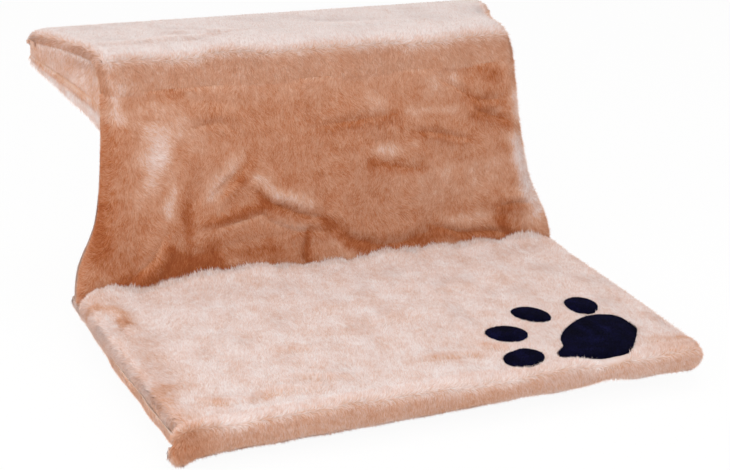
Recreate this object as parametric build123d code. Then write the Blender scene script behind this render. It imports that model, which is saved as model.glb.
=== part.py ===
from build123d import *
import os
from math import atan2, cos, degrees, pi, sin, sqrt, tan

# Plush-covered cat bed that hangs on a radiator: a bolted frame of bent steel tube inside a sewn
# cover. Seat in front, leaning back, shelf that lies on the radiator, two steel hooks behind it.
# Millimetres. X to the right, Y from the seat towards the radiator, Z up. The origin is the middle
# of the flat face that lies on the radiator: the shelf's underside, at Z = 0.

os.makedirs("parts", exist_ok=True)

# Bed, measured between tube centre lines and corners
seat_depth = 272.0
back_height = 202.0
back_lean = 42.0
shelf_depth = 118.0

# Cover widths, outside to outside
front_width = 455.0
crease_width = 465.0
top_width = 404.0
rear_width = 472.0

# Frame
rail_inset = 17.0
bar_overhang = 24.0
rail_diameter = 12.0
bar_diameter = 10.0
tube_wall = 1.0
crease_bend_radius = 20.0
top_bend_radius = 28.0
crease_bar_rise = 25.0

# Fastenings
bolt_diameter = 5.0
bolt_clearance = 0.2
head_diameter = 8.5
head_height = 2.2
head_round = 1.4
socket_width = 3.0
socket_depth = 1.3
nut_width = 8.0
nut_height = 4.0
saddle_web = 1.2
saddle_wrap = 3.0
insert_length = 14.0
insert_flange = 1.0
insert_gap = 0.1
cap_plug = 8.0
cap_crown = 2.0
bar_end_gap = 1.5

# Hooks
hook_width = 18.0
hook_thickness = 2.5
hook_drop = 46.0
hook_flare_length = 12.0
hook_flare_out = 4.0
hook_head = 6.5
sleeve_wall = 1.2
sleeve_length = 16.0

# Cover and padding
cover_half = 11.5
plush = 4.0
lining = 3.0
seam_gap = 0.5
fit_gap = 0.3
side_round = 8.0
crease_fill = 2.5
rear_swell = 13.5
seat_crown = 5.0
back_crown = 5.0
shelf_crown = 2.0
fold_height = 4.0
seat_ripple = 1.2
seat_pad = 8.0
back_pad = 6.0
corner_droop = 9.0
corner_reach = 7.0
web_thickness = 4.0
web_front_drop = 46.0
web_rear_drop = 9.0
web_sag = 3.0
flat_trim = 0.5
tape_width = 20.0
tape_thickness = 1.0
tape_inset = 12.0
strap_slot_gap = 1.0
hook_margin = 3.0

# Paw print: soft pads sewn on the seat, near its front right corner
paw_thickness = 2.0
paw_pad_width = 92.0
paw_pad_depth = 80.0
paw_from_right = 79.5
paw_from_front = 44.0
toe_length = 37.0
toe_width = 30.0

# Shares, chosen by hand
back_width_shares = [
    (0.0, 1.0), (0.16, 1.0), (0.26, 0.66), (0.36, 0.42), (0.5, 0.25), (0.75, 0.08), (1.0, 0.0),
]
rear_swell_shares = [(0.0, 0.0), (0.3, 0.3), (0.6, 0.68), (0.75, 0.95), (0.86, 1.0), (1.0, 1.0)]
crease_fill_shares = [(0.0, 1.0), (0.06, 0.8), (0.16, 0.15), (0.3, 0.0), (1.0, 0.0)]
seat_width_shares = [(0.0, 0.0), (0.25, -0.20), (0.55, 0.10), (0.80, 0.65), (1.0, 1.0)]
shelf_width_shares = [(0.0, 0.0), (0.25, 0.16), (0.55, 0.45), (0.80, 0.78), (1.0, 1.0)]
fold_line_shares = [(-0.72, 0.4), (-0.22, 0.85), (0.38, 0.6)]
fold_spread_share = 0.18
toe_place_shares = [(0.48, 1.575), (-0.70, 1.45), (-1.52, 0.70), (-1.70, -0.475)]
pad_outline_shares = [
    (-1.09, -0.45), (-0.87, 0.125), (-0.26, 0.65), (0.37, 1.05), (0.87, 0.775),
    (1.02, 0.30), (0.48, -0.525), (0.26, -0.85), (-0.22, -1.025), (-0.78, -0.80),
]
web_lean_share = 0.55
ear_tip_share = 0.3

lean = atan2(back_lean, back_height)
up_back = Vector(0, sin(lean), cos(lean))
out_back = Vector(0, -cos(lean), sin(lean))
across = Vector(1, 0, 0)
upward = Vector(0, 0, 1)
rearward = Vector(0, 1, 0)
forward = rearward * -1

# The rails lie inside the cover where it is narrowest, and every crossbar overhangs them
rail_spacing = min(
    top_width - 2 * rail_inset,
    min(front_width, crease_width, rear_width) - 2 * bar_overhang,
)

rail_radius = rail_diameter / 2
bar_radius = bar_diameter / 2
hole_radius = bolt_diameter / 2 + bolt_clearance
half_rails = rail_spacing / 2

hook_forward = bar_radius + saddle_web + hook_thickness
bearing_front = top_bend_radius * tan((pi / 2 - lean) / 2) + fit_gap
bearing_rear = shelf_depth - hook_forward - hook_margin
top_corner = Vector(0, -(bearing_front + bearing_rear) / 2, cover_half)
crease_corner = top_corner - Vector(0, back_lean, back_height)
front_bar = crease_corner - rearward * seat_depth
rear_bar = top_corner + rearward * shelf_depth
crease_bar_offset = rail_radius + saddle_web + bar_radius
crease_bar = crease_corner + up_back * crease_bar_rise - out_back * crease_bar_offset
joint_reach = bar_radius + saddle_web + insert_flange
rail_front = front_bar + rearward * joint_reach
rail_rear = rear_bar - rearward * (joint_reach + hook_thickness)
hook_face = rear_bar.Y - hook_forward
bearing_end = top_corner.Y + bearing_rear


def place(point, x=0.0):
    """The same point moved sideways by x."""
    return Vector(x, point.Y, point.Z)


def bend(corner, before, after, radius):
    """Start, middle and end of a bend of the given radius between two directions."""
    turn = before.get_angle(after) * pi / 180
    reach = radius * tan(turn / 2)
    start = corner - before * reach
    end = corner + after * reach
    inward = (after - before).normalized()
    middle = corner + inward * (radius / cos(turn / 2) - radius)
    return start, middle, end


crease_bend = bend(crease_corner, rearward, up_back, crease_bend_radius)
top_bend = bend(top_corner, up_back, rearward, top_bend_radius)


def frame_path(x):
    """Centre line of one side rail."""
    points = [place(p, x) for p in (rail_front, *crease_bend, *top_bend, rail_rear)]
    front, a, b, c, d, e, f, rear = points
    return Wire([
        Edge.make_line(front, a),
        Edge.make_three_point_arc(a, b, c),
        Edge.make_line(c, d),
        Edge.make_three_point_arc(d, e, f),
        Edge.make_line(f, rear),
    ])


def rod(start, direction, length, radius):
    """Round bar from a point along a direction."""
    return extrude(Plane(origin=start, z_dir=direction) * Circle(radius), length)


def crosswise(centre, length, radius):
    """Round bar along X, centred on a point."""
    return rod(centre - across * (length / 2), across, length, radius)


def rail_core(x, radius):
    """Solid round bar bent along a side rail's centre line."""
    path = frame_path(x)
    return sweep(Plane(origin=path @ 0, z_dir=rearward) * Circle(radius), path=path)


def side_rail(x):
    """Bent tube with the bolt holes of the crease bar and the top bar."""
    tube = rail_core(x, rail_radius) - rail_core(x, rail_radius - tube_wall)
    crossing = crease_corner + up_back * crease_bar_rise
    tube -= rod(place(crossing, x) - out_back * rail_diameter, out_back, 2 * rail_diameter, hole_radius)
    tube -= crosswise(place(top_bend[1], x), 2 * rail_diameter, hole_radius)
    return tube


def crossbar(centre, width, cap, holes, along):
    """Straight tube with a bolt hole at each rail."""
    length = width - 2 * (plush + bar_end_gap + cap)
    bar = crosswise(centre, length, bar_radius) - crosswise(centre, length, bar_radius - tube_wall)
    for x in holes:
        bar -= rod(place(centre, x) - along * bar_diameter, along, 2 * bar_diameter, hole_radius)
    return bar, length / 2


rails = (-half_rails, half_rails)
front_crossbar, front_half = crossbar(front_bar, front_width, cap_crown, rails, rearward)
rear_crossbar, rear_half = crossbar(rear_bar, rear_width, cap_crown, rails, rearward)
crease_crossbar, crease_half = crossbar(crease_bar, crease_width, cap_crown, rails, out_back)
top_half = half_rails - rail_radius - saddle_web - insert_flange
top_bar = top_bend[1]
top_bore = crosswise(top_bar, 2 * top_half, bar_radius - tube_wall)
top_crossbar = crosswise(top_bar, 2 * top_half, bar_radius) - top_bore


def bar_cap(centre, x):
    """Plastic plug with a low dome for the end of a crossbar."""
    side = 1 if x > 0 else -1
    end = place(centre, x)
    plug = rod(end, across * -side, cap_plug, bar_radius - tube_wall - insert_gap)
    dome = rod(end, across * side, cap_crown, bar_radius)
    rim = dome.faces().sort_by(Axis.X)[-1 if x > 0 else 0].edges()
    return plug + fillet(rim, cap_crown * 0.8)


def end_saddle(end, direction, radius, round_tube):
    """Saddle between a flat tube end and the round tube that it butts against."""
    body = rod(end, direction, saddle_web + saddle_wrap, radius) - round_tube
    return body - rod(end - direction * rail_radius, direction, 2 * rail_diameter, hole_radius)


def thread_insert(end, inward, bore):
    """Flanged insert pressed into a tube end; its hole takes the bolt."""
    body = rod(end, inward, insert_length, bore - insert_gap)
    flange = rod(end - inward * insert_flange, inward, insert_flange, bore + tube_wall)
    hole = rod(end - inward * insert_flange, inward, insert_length + 2 * insert_flange, bolt_diameter / 2)
    return body + flange - hole


def bolt(seat, outward, length):
    """Dome-headed bolt whose head bears on the seat and whose shank runs the other way."""
    head = rod(seat, outward, head_height, head_diameter / 2)
    top = head.faces().sort_by(Axis(seat, outward))[-1]
    head = fillet(top.edges(), head_round)
    socket_plane = Plane(origin=seat + outward * head_height, z_dir=outward)
    socket = extrude(socket_plane * RegularPolygon(socket_width / 2, 6, major_radius=False), -socket_depth)
    return head + rod(seat, outward * -1, length, bolt_diameter / 2 - bolt_clearance / 2) - socket


def nut(seat, outward):
    """Hexagon nut."""
    plane = Plane(origin=seat, z_dir=outward)
    body = extrude(plane * RegularPolygon(nut_width / 2, 6, major_radius=False), nut_height)
    return body - rod(seat, outward, nut_height, bolt_diameter / 2)


def cross_saddle(x):
    """Saddle between the side rail and the crease bar, hollowed to both."""
    rail_point = place(crease_corner + up_back * crease_bar_rise, x)
    start = rail_point - out_back * (rail_radius - saddle_wrap)
    body = rod(start, out_back * -1, saddle_web + 2 * saddle_wrap, rail_radius)
    body -= rod(rail_point - up_back * rail_diameter, up_back, 2 * rail_diameter, rail_radius)
    body -= crosswise(place(crease_bar, x), 2 * rail_diameter, bar_radius)
    return body - rod(start + out_back * rail_radius, out_back * -1, 2 * rail_diameter, hole_radius)


def hook(x):
    """Flat steel hook: bolted at the shelf's rear bar, hanging behind the radiator, flared at its tip."""
    face = hook_face
    top = rear_bar.Z + hook_head
    knee = rear_bar.Z - hook_drop + hook_flare_length
    tip = rear_bar.Z - hook_drop
    out = hook_flare_out
    with BuildPart() as steel:
        with BuildSketch(Plane.YZ.offset(x - hook_width / 2)):
            with BuildLine():
                Polyline(
                    (face, top), (face, knee), (face + out, tip), (face + out + hook_thickness, tip),
                    (face + hook_thickness, knee), (face + hook_thickness, top), close=True,
                )
            make_face()
        extrude(amount=hook_width)
        short = hook_thickness * 1.1
        corners = steel.edges().filter_by(lambda e: abs(e.tangent_at(0).Y) > 0.9 and e.length < short)
        fillet(corners, hook_width * 0.3)
    start = Vector(x, face - hook_thickness, rear_bar.Z)
    return steel.part - rod(start, rearward, 3 * hook_thickness, hole_radius)


def hook_sleeve(x):
    """Plastic sleeve pushed on the straight lower part of a hook."""
    face = hook_face
    knee = rear_bar.Z - hook_drop + hook_flare_length
    middle = Vector(x, face + hook_thickness / 2, knee + sleeve_length / 2 + sleeve_wall)
    wide = hook_width + 2 * (sleeve_wall + insert_gap)
    deep = hook_thickness + 2 * (sleeve_wall + insert_gap)
    outer = Pos(*middle) * Box(wide, deep, sleeve_length)
    outer = fillet(outer.edges().filter_by(Axis.Z), sleeve_wall)
    hole = Pos(*middle) * Box(hook_width + 2 * insert_gap, hook_thickness + 2 * insert_gap, 2 * sleeve_length)
    return outer - hole


def between(shares, share):
    """Value of a table of (place, value) shares at a place, in a straight line between its rows."""
    for (a, low), (b, high) in zip(shares, shares[1:]):
        if share <= b:
            t = (share - a) / (b - a)
            return low + (high - low) * t
    return shares[-1][1]


def crown_points(half_width, height, crown, spans, ripple):
    """Points of a crowned top from left to right, two spans for each arc."""
    points = []
    for k in range(2 * spans + 1):
        share = -1 + k / spans
        rise = crown * (1 - share * share) + ripple(share) * (1 - share ** 4)
        points.append((share * half_width, height + rise))
    return points


def arcs(points):
    """Arcs through every second point of a chain."""
    edges = []
    for a, b, c in zip(points[::2], points[1::2], points[2::2]):
        edges.append(Edge.make_three_point_arc(Vector(*a), Vector(*b), Vector(*c)))
    return edges


def shell_face(plane, width, height, crown, skin, spans, ripple):
    """Cross-section of half a padded shell: crowned top, rounded sides, open towards its seam."""
    half = width / 2
    edges = []
    outline = []
    for inset in (0.0, skin):
        w = half - inset
        h = height - inset
        r = side_round - inset
        low = seam_gap / 2
        slant = r * (1 - sqrt(0.5))
        left = [(-w, low), (-w, h - r), (-w + slant, h - slant), (-w + r, h)]
        right = [(-u, v) for u, v in reversed(left)]
        if crown:
            top = arcs(crown_points(w - r, h, crown, spans, ripple))
        else:
            top = [Edge.make_line(Vector(*left[3]), Vector(*right[0]))]
        side_edges = [
            Edge.make_line(Vector(*left[0]), Vector(*left[1])),
            Edge.make_three_point_arc(*[Vector(*p) for p in left[1:]]),
            *top,
            Edge.make_three_point_arc(*[Vector(*p) for p in right[:3]]),
            Edge.make_line(Vector(*right[2]), Vector(*right[3])),
        ]
        edges.extend(side_edges)
        outline.append((left[0], right[3]))
    (outer_left, outer_right), (inner_left, inner_right) = outline
    edges.append(Edge.make_line(Vector(*outer_left), Vector(*inner_left)))
    edges.append(Edge.make_line(Vector(*outer_right), Vector(*inner_right)))
    return plane * Face(Wire.combine(edges)[0])


def pad_face(plane, width, low, high, crown, spans, ripple):
    """Cross-section of a flat-bottomed pad with a crowned top."""
    half = width / 2
    top = crown_points(half, high, crown, spans, ripple)
    corners = [(half, high), (half, low), (-half, low), (-half, high)]
    edges = arcs(top)
    for a, b in zip(corners, corners[1:]):
        edges.append(Edge.make_line(Vector(*a), Vector(*b)))
    return plane * Face(Wire.combine(edges)[0])


def smooth(share):
    """Nothing at both ends and full in the middle."""
    return sin(pi * share)


def seat_station(share):
    """Cross-section plane of the seat, from the crease (0) to the front bar (1)."""
    return Plane(origin=crease_corner - rearward * (seat_depth * share), x_dir=across, z_dir=rearward * -1)


def back_station(share):
    """Cross-section plane of the back, from the top bend (0) to the crease (1)."""
    start = top_bend[0]
    return Plane(origin=start + (crease_corner - start) * share, x_dir=across, z_dir=up_back * -1)


def seat_width(share):
    """Width of the seat's cover, from the crease (0) to the front bar (1)."""
    return crease_width + (front_width - crease_width) * between(seat_width_shares, share)


def back_width(share):
    """Width of the back's cover, from the top bend (0) to the crease (1)."""
    return top_width + (crease_width - top_width) * between(back_width_shares, 1 - share)


def shelf_width(share):
    """Width of the shelf's cover, from the top bend (0) to the rear bar (1)."""
    return top_width + (rear_width - top_width) * between(shelf_width_shares, share)


def seat_wave(share):
    """Low undulations of the seat at one station, across its width."""
    return lambda u: seat_ripple * smooth(share) * sin(pi * (3 * u + 2 * share))


def back_wave(share):
    """Slanting folds of the back at one station, across its width."""

    def rise(u):
        total = 0.0
        for middle, slant in fold_line_shares:
            centre = middle + slant * (share - 0.5)
            total += fold_height * smooth(share) * pow(2.0, -((u - centre) / fold_spread_share) ** 2)
        return total

    return rise


def no_wave(share):
    """A section without waves across its width."""
    return lambda u: 0.0


seat_shares = [0.0, 0.08, 0.2, 0.4, 0.6, 0.8, 1.0]
back_shares = [0.0, 0.12, 0.26, 0.4, 0.54, 0.68, 0.8, 0.91, 1.0]
seat_span_count = 6
back_span_count = 8
shelf_span_count = 2


def seat_lift(share):
    """How far the seat's stuffing crowns it at one station."""
    return seat_crown * (0.15 + 0.85 * smooth(share))


def back_lift(share):
    """How far the back's stuffing crowns it at one station."""
    return back_crown * (0.2 + 0.8 * smooth(share))


def top_height(from_crease):
    """Height of the plush side over the frame's mid-plane, fuller where it turns at the crease."""
    return cover_half + crease_fill * between(crease_fill_shares, from_crease)


mitre = Plane(origin=crease_corner, z_dir=(rearward * -1 - up_back).normalized())


def seat_top_panel():
    """Plush over the seat, cut along the mitre with the back."""
    faces = [
        shell_face(
            seat_station(s), seat_width(s), top_height(s), seat_lift(s),
            plush, seat_span_count, seat_wave(s),
        )
        for s in seat_shares
    ]
    return split(loft(faces), bisect_by=mitre.offset(fit_gap / 2), keep=Keep.TOP)


def back_front_panel():
    """Plush down the back's front, cut along the mitre with the seat."""
    faces = [
        shell_face(
            back_station(s), back_width(s), top_height(1 - s), back_lift(s),
            plush, back_span_count, back_wave(s),
        )
        for s in back_shares
    ]
    return split(loft(faces), bisect_by=mitre.offset(-fit_gap / 2), keep=Keep.BOTTOM)


def shelf_top_panel():
    """Plush over the top bend and along the shelf."""
    faces = []
    for share in (0.0, 0.2, 0.4, 0.6, 0.8, 1.0):
        origin = top_bend[2] + (rear_bar - top_bend[2]) * share
        plane = Plane(origin=origin, x_dir=across, z_dir=rearward * -1)
        width = shelf_width(share)
        faces.append(shell_face(plane, width, cover_half, shelf_crown, plush, shelf_span_count, no_wave(0)))
    flat = loft(faces)
    pivot = Axis(top_bend[2] - upward * top_bend_radius, across)
    turn = degrees(pi / 2 - lean) - degrees(fit_gap / top_bend_radius)
    return flat + revolve(faces[0], axis=pivot, revolution_arc=turn)


def under_shell(stations, skin=lining):
    """Lining shell below or behind the frame: stations are (plane, width, height)."""
    faces = [shell_face(plane, width, height, 0.0, skin, 1, no_wave(0)) for plane, width, height in stations]
    return loft(faces)


def facing_down(origin, tangent):
    """Cross-section plane whose outward side is below or behind the frame."""
    return Plane(origin=origin, x_dir=across * -1, z_dir=tangent)


def slab(y_low, y_high, z_low, z_high, width):
    """Plain block across the bed."""
    return Pos(0, (y_low + y_high) / 2, (z_low + z_high) / 2) * Box(width, y_high - y_low, z_high - z_low)


rear_offset = cover_half + rear_swell
seat_rear = crease_corner.Y + rear_offset / cos(lean)


def filled_face(plane, width, height):
    """Closed outline of an uncrowned shell, without its hollow."""
    half = width / 2
    slant = side_round * (1 - sqrt(0.5))
    low = seam_gap / 2
    left = [
        (-half, low), (-half, height - side_round),
        (-half + slant, height - slant), (-half + side_round, height),
    ]
    right = [(-u, v) for u, v in reversed(left)]
    edges = [
        Edge.make_line(Vector(*left[0]), Vector(*left[1])),
        Edge.make_three_point_arc(*[Vector(*p) for p in left[1:]]),
        Edge.make_line(Vector(*left[3]), Vector(*right[0])),
        Edge.make_three_point_arc(*[Vector(*p) for p in right[:3]]),
        Edge.make_line(Vector(*right[2]), Vector(*right[3])),
        Edge.make_line(Vector(*right[3]), Vector(*left[0])),
    ]
    return plane * Face(Wire(edges))


def seat_under_panel():
    """Tray under the frame: side walls, a wall behind the crease, open at the front."""
    stations = []
    for share in (1.0, 0.6, 0.3, 0.0):
        plane = facing_down(crease_corner - rearward * (seat_depth * share), forward)
        stations.append((plane, seat_width(share), cover_half))
    end = facing_down(Vector(0, seat_rear - lining, crease_corner.Z), forward)
    stations.append((end, crease_width, cover_half))
    wall = extrude(filled_face(end, crease_width, cover_half), amount=lining, dir=rearward)
    return under_shell(stations) + wall


def back_rear_panel():
    """Taut lining behind the back, standing off further at the crease bar."""
    start = top_bend[0] - up_back * fit_gap
    stations = []
    for share, swell in rear_swell_shares:
        origin = start + (crease_corner - start) * share
        plane = facing_down(origin, up_back * -1)
        stations.append((plane, back_width(share), cover_half + rear_swell * swell))
    panel = under_shell(stations)
    base = Plane(origin=Vector(0, 0, crease_corner.Z + fit_gap), z_dir=upward)
    return split(panel, bisect_by=base, keep=Keep.TOP)


def shelf_lining(start, end):
    """Shell of lining under a stretch of the shelf, cut flat where it lies on the radiator."""
    length = rear_bar.Y - top_bend[2].Y
    stations = []
    for k in range(5):
        origin = start + (end - start) * (k / 4)
        width = shelf_width((origin.Y - top_bend[2].Y) / length)
        stations.append((facing_down(origin, forward), width, cover_half + flat_trim))
    shell = under_shell(stations, lining + flat_trim)
    return split(shell, bisect_by=Plane.XY, keep=Keep.TOP)


def shelf_under_panel():
    """Flat lining that lies on the radiator."""
    return shelf_lining(top_bend[2] + rearward * fit_gap, Vector(0, bearing_end, rear_bar.Z))


def rear_hem():
    """Cover round the rear bar, with a flat hem in front of it that has slots for the hooks."""
    flange = shelf_lining(Vector(0, bearing_end + fit_gap, rear_bar.Z), rear_bar + rearward * fit_gap)
    hem = roll_band(rear_bar, rear_width, rearward) + flange
    wide = hook_width + 2 * strap_slot_gap
    deep = hook_thickness + 2 * strap_slot_gap
    for x in rails:
        hem -= Pos(x, hook_face + hook_thickness / 2, 0) * Box(wide, deep, 2 * lining + fit_gap)
    return hem


def roll_band(centre, width, facing):
    """Half-round roll of cover along a bar, on the side of it that faces one way."""
    outer = crosswise(centre, width, cover_half)
    inner = crosswise(centre, width - 2 * plush, cover_half - lining)
    cut = Plane(origin=centre + facing * fit_gap, z_dir=facing)
    return split(outer - inner, bisect_by=cut, keep=Keep.TOP)


def ear(centre, width):
    """Slack corner of the cover that hangs past the front bar's left end."""
    faces = []
    tip = (corner_reach, corner_droop, cover_half * ear_tip_share)
    for reach, drop, radius in ((0.0, 0.0, cover_half), tip):
        origin = Vector(-width / 2 - reach, centre.Y - fit_gap, centre.Z - drop)
        plane = Plane(origin=origin, x_dir=rearward * -1, z_dir=across * -1)
        faces.append(plane * Face(Wire([
            Edge.make_line(Vector(0, -radius), Vector(0, radius)),
            Edge.make_three_point_arc(Vector(0, radius), Vector(radius, 0), Vector(0, -radius)),
        ])))
    return loft(faces, ruled=True)


def corner_lining():
    """Lining strip across the inside of the top bend, with a cheek at each end."""
    low = top_bend[0] - out_back * cover_half
    high = top_bend[2] - upward * cover_half
    outward = (high - low).cross(across).normalized()
    if outward.Y < 0:
        outward = outward * -1
    strip = prism([low, high, high - outward * lining, low - outward * lining], -top_width / 2, top_width)
    start = top_bend[0] - out_back * seam_gap
    end = top_bend[2] - upward * seam_gap
    for x in (-top_width / 2, top_width / 2 - lining):
        strip += prism([low, high, end, start], x, lining)
    return strip


def prism(points, x, width):
    """Flat-sided block along X from an outline in the side view."""
    corners = [place(p, x) for p in points]
    edges = [Edge.make_line(a, b) for a, b in zip(corners, corners[1:] + corners[:1])]
    return extrude(Face(Wire(edges)), amount=width, dir=across)


back_plane = top_corner.Y + cover_half * (1 - sin(lean)) / cos(lean)


def side_web(side):
    """Cloth web under the shelf's end, from the back to the shelf's rear corner."""
    near = Vector(side * (top_width / 2 - web_thickness), back_plane, -fit_gap)
    far = Vector(side * (rear_width / 2 - web_thickness), rear_bar.Y, -fit_gap)
    along = (far - near).normalized()
    plane = Plane(origin=near, x_dir=along, z_dir=along.cross(upward))
    length = (far - near).length
    chamfer = top_bend[2].Y + fit_gap - back_plane
    lower_front = Vector(-web_front_drop * tan(lean) * web_lean_share, -web_front_drop)
    lower_rear = Vector(length, -web_rear_drop)
    middle = (lower_front + lower_rear) / 2 - Vector(0, web_sag)
    corners = [lower_front, Vector(fit_gap, -chamfer), Vector(chamfer, 0), Vector(length, 0), lower_rear]
    edges = [Edge.make_line(a, b) for a, b in zip(corners, corners[1:])]
    edges.append(Edge.make_three_point_arc(lower_rear, middle, lower_front))
    return extrude(plane * Face(Wire(edges)), amount=web_thickness, dir=across * side)


pad_width = rail_spacing - rail_diameter - 2 * seam_gap


def seat_wadding():
    """Polyester pad inside the seat."""
    near = (crease_bend_radius + cover_half) / seat_depth
    far = 1 - (cover_half + bar_radius) / seat_depth
    shares = [near + (far - near) * k / 4 for k in range(5)]
    return lowered_pad([(seat_station(s), seat_lift(s) * 0.8) for s in shares], seat_pad)


def back_wadding():
    """Polyester pad inside the back."""
    length = (crease_corner - top_bend[0]).length
    far = 1 - (crease_bend_radius + cover_half) / length
    shares = [far * k / 4 for k in range(5)]
    return lowered_pad([(back_station(s), back_lift(s) * 0.8) for s in shares], back_pad)


def shelf_wadding():
    """Polyester pad inside the shelf."""
    length = (rear_bar - top_bend[2]).length
    far = 1 - (cover_half + bar_radius) / length
    planes = []
    for share in (far, far / 2, 0.0):
        origin = top_bend[2] + (rear_bar - top_bend[2]) * share
        planes.append((Plane(origin=origin, x_dir=across, z_dir=rearward * -1), shelf_crown * 0.8))
    return lowered_pad(planes, back_pad)


def lowered_pad(stations, thickness):
    """Pad whose top lies just under the plush panel."""
    high = cover_half - plush - fit_gap - seat_ripple
    low = high - thickness
    faces = [pad_face(plane, pad_width, low, high, lift, 2, no_wave(0)) for plane, lift in stations]
    return loft(faces)


def skin_face(plane, width, height, crown, thickness, spans, ripple):
    """Cross-section of a thin skin that follows a crowned top."""
    half = width / 2
    low = crown_points(half, height, crown, spans, ripple)
    high = [(u, v + thickness) for u, v in low]
    edges = arcs(low) + arcs(high)
    for a, b in ((low[0], high[0]), (low[-1], high[-1])):
        edges.append(Edge.make_line(Vector(*a), Vector(*b)))
    return plane * Face(Wire.combine(edges)[0])


def paw_pieces():
    """Main pad and four toes, cut from a thin skin that follows the seat."""
    faces = []
    for s in seat_shares:
        crowned = seat_width(s) - 2 * side_round
        faces.append(skin_face(seat_station(s), crowned, top_height(s) + fit_gap, seat_lift(s), paw_thickness,
                               seat_span_count, seat_wave(s)))
    skin = loft(faces)
    centre = Vector(front_width / 2 - paw_from_right, front_bar.Y + paw_from_front, crease_corner.Z)
    half = (paw_pad_width / 2, paw_pad_depth / 2)
    outline = [Vector(a * half[0], b * half[1]) for a, b in pad_outline_shares]
    outline.append(outline[0])
    edges = [Edge.make_three_point_arc(*outline[k:k + 3]) for k in range(0, len(outline) - 2, 2)]
    high = 3 * cover_half
    shapes = [extrude(Pos(*centre) * Face(Wire(edges)), amount=high, dir=upward)]
    for a, b in toe_place_shares:
        middle = centre + Vector(a * half[0], b * half[1])
        turned = Pos(*middle) * Rot(0, 0, degrees(atan2(b * half[1], a * half[0])))
        shapes.append(extrude(turned * Ellipse(toe_length / 2, toe_width / 2), amount=high, dir=upward))
    return [shape & skin for shape in shapes]


def tape(low, rear):
    """One half of the hook-and-loop closure, inside the shelf's rear edge."""
    width = rail_spacing - 2 * (rail_diameter + tape_inset)
    return slab(rear - tape_width, rear, low, low + tape_thickness, width)


def caps():
    """Plugs for both ends of the three bars that overhang the rails."""
    pieces = []
    for centre, half in ((front_bar, front_half), (crease_bar, crease_half), (rear_bar, rear_half)):
        pieces.append(bar_cap(centre, -half))
        pieces.append(bar_cap(centre, half))
    return pieces


bore = rail_radius - tube_wall
crossing = crease_corner + up_back * crease_bar_rise

end_saddles = []
inserts = []
front_bolts = []
rear_bolts = []
top_bolts = []
cross_saddles = []
cross_bolts = []
cross_nuts = []
for x in rails:
    side = across * (1 if x > 0 else -1)
    front_end = place(rail_front, x)
    rear_end = place(rail_rear, x)
    top_end = place(top_bar, x) - side * (rail_radius + saddle_web + insert_flange)
    shank = insert_length * 0.8 + insert_flange + saddle_web + bar_diameter
    inserts.append(thread_insert(front_end, rearward, bore))
    inserts.append(thread_insert(rear_end, forward, bore))
    inserts.append(thread_insert(top_end, side * -1, bar_radius - tube_wall))
    front_tube = crosswise(place(front_bar, x), 2 * rail_diameter, bar_radius)
    rear_tube = crosswise(place(rear_bar, x), 2 * rail_diameter, bar_radius)
    rear_face = rear_end + rearward * (insert_flange + hook_thickness)
    end_saddles.append(end_saddle(front_end - rearward * insert_flange, forward, rail_radius, front_tube))
    end_saddles.append(end_saddle(rear_face, rearward, rail_radius, rear_tube))
    rail_tube = rail_core(x, rail_radius)
    end_saddles.append(end_saddle(top_end + side * insert_flange, side, bar_radius, rail_tube))
    front_bolts.append(bolt(place(front_bar, x) - rearward * bar_radius, forward, shank))
    rear_bolts.append(bolt(place(rear_bar, x) + rearward * bar_radius, rearward, shank + hook_thickness))
    top_bolts.append(bolt(place(top_bar, x) + side * rail_radius, side, shank + rail_diameter - bar_diameter))
    cross_saddles.append(cross_saddle(x))
    cross_length = rail_diameter + saddle_web + bar_diameter + nut_height
    cross_bolts.append(bolt(place(crossing, x) + out_back * rail_radius, out_back, cross_length))
    cross_nuts.append(nut(place(crease_bar, x) - out_back * bar_radius, out_back * -1))

paws = paw_pieces()
loop_top = lining + tape_thickness
nodes = {
    "left_rail": side_rail(-half_rails),
    "right_rail": side_rail(half_rails),
    "front_crossbar": front_crossbar,
    "crease_crossbar": crease_crossbar,
    "top_crossbar": top_crossbar,
    "rear_crossbar": rear_crossbar,
    "crossbar_caps": caps(),
    "end_saddles": end_saddles,
    "cross_saddles": cross_saddles,
    "thread_inserts": inserts,
    "front_and_top_bolts": front_bolts + top_bolts,
    "rear_bolts": rear_bolts,
    "cross_bolts": cross_bolts,
    "cross_nuts": cross_nuts,
    "left_hook": hook(-half_rails),
    "right_hook": hook(half_rails),
    "hook_sleeves": [hook_sleeve(x) for x in rails],
    "seat_top_panel": seat_top_panel(),
    "seat_under_panel": seat_under_panel(),
    "front_band": roll_band(front_bar, front_width, forward) + ear(front_bar, front_width),
    "back_front_panel": back_front_panel(),
    "back_rear_panel": back_rear_panel(),
    "shelf_top_panel": shelf_top_panel(),
    "shelf_under_panel": shelf_under_panel(),
    "rear_band": rear_hem(),
    "corner_lining": corner_lining(),
    "left_side_web": side_web(-1),
    "right_side_web": side_web(1),
    "seat_wadding": seat_wadding(),
    "back_wadding": back_wadding(),
    "shelf_wadding": shelf_wadding(),
    "closure_loop_tape": tape(lining, rear_bar.Y - bar_radius),
    "closure_hook_tape": tape(loop_top, rear_bar.Y),
    "paw_main_pad": paws[0],
    "paw_toe_right": paws[1],
    "paw_toe_inner_right": paws[2],
    "paw_toe_inner_left": paws[3],
    "paw_toe_left": paws[4],
}

for name, shape in nodes.items():
    if isinstance(shape, list):
        solids = [solid for item in shape for solid in item.solids()]
    else:
        solids = shape.solids()
    whole = solids[0] if len(solids) == 1 else Compound(solids)
    export_step(whole, f"parts/{name}.step")
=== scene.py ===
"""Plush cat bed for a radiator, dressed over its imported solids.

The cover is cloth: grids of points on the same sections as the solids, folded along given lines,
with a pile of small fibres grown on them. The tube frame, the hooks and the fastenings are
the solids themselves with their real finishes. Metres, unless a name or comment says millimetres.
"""

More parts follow.
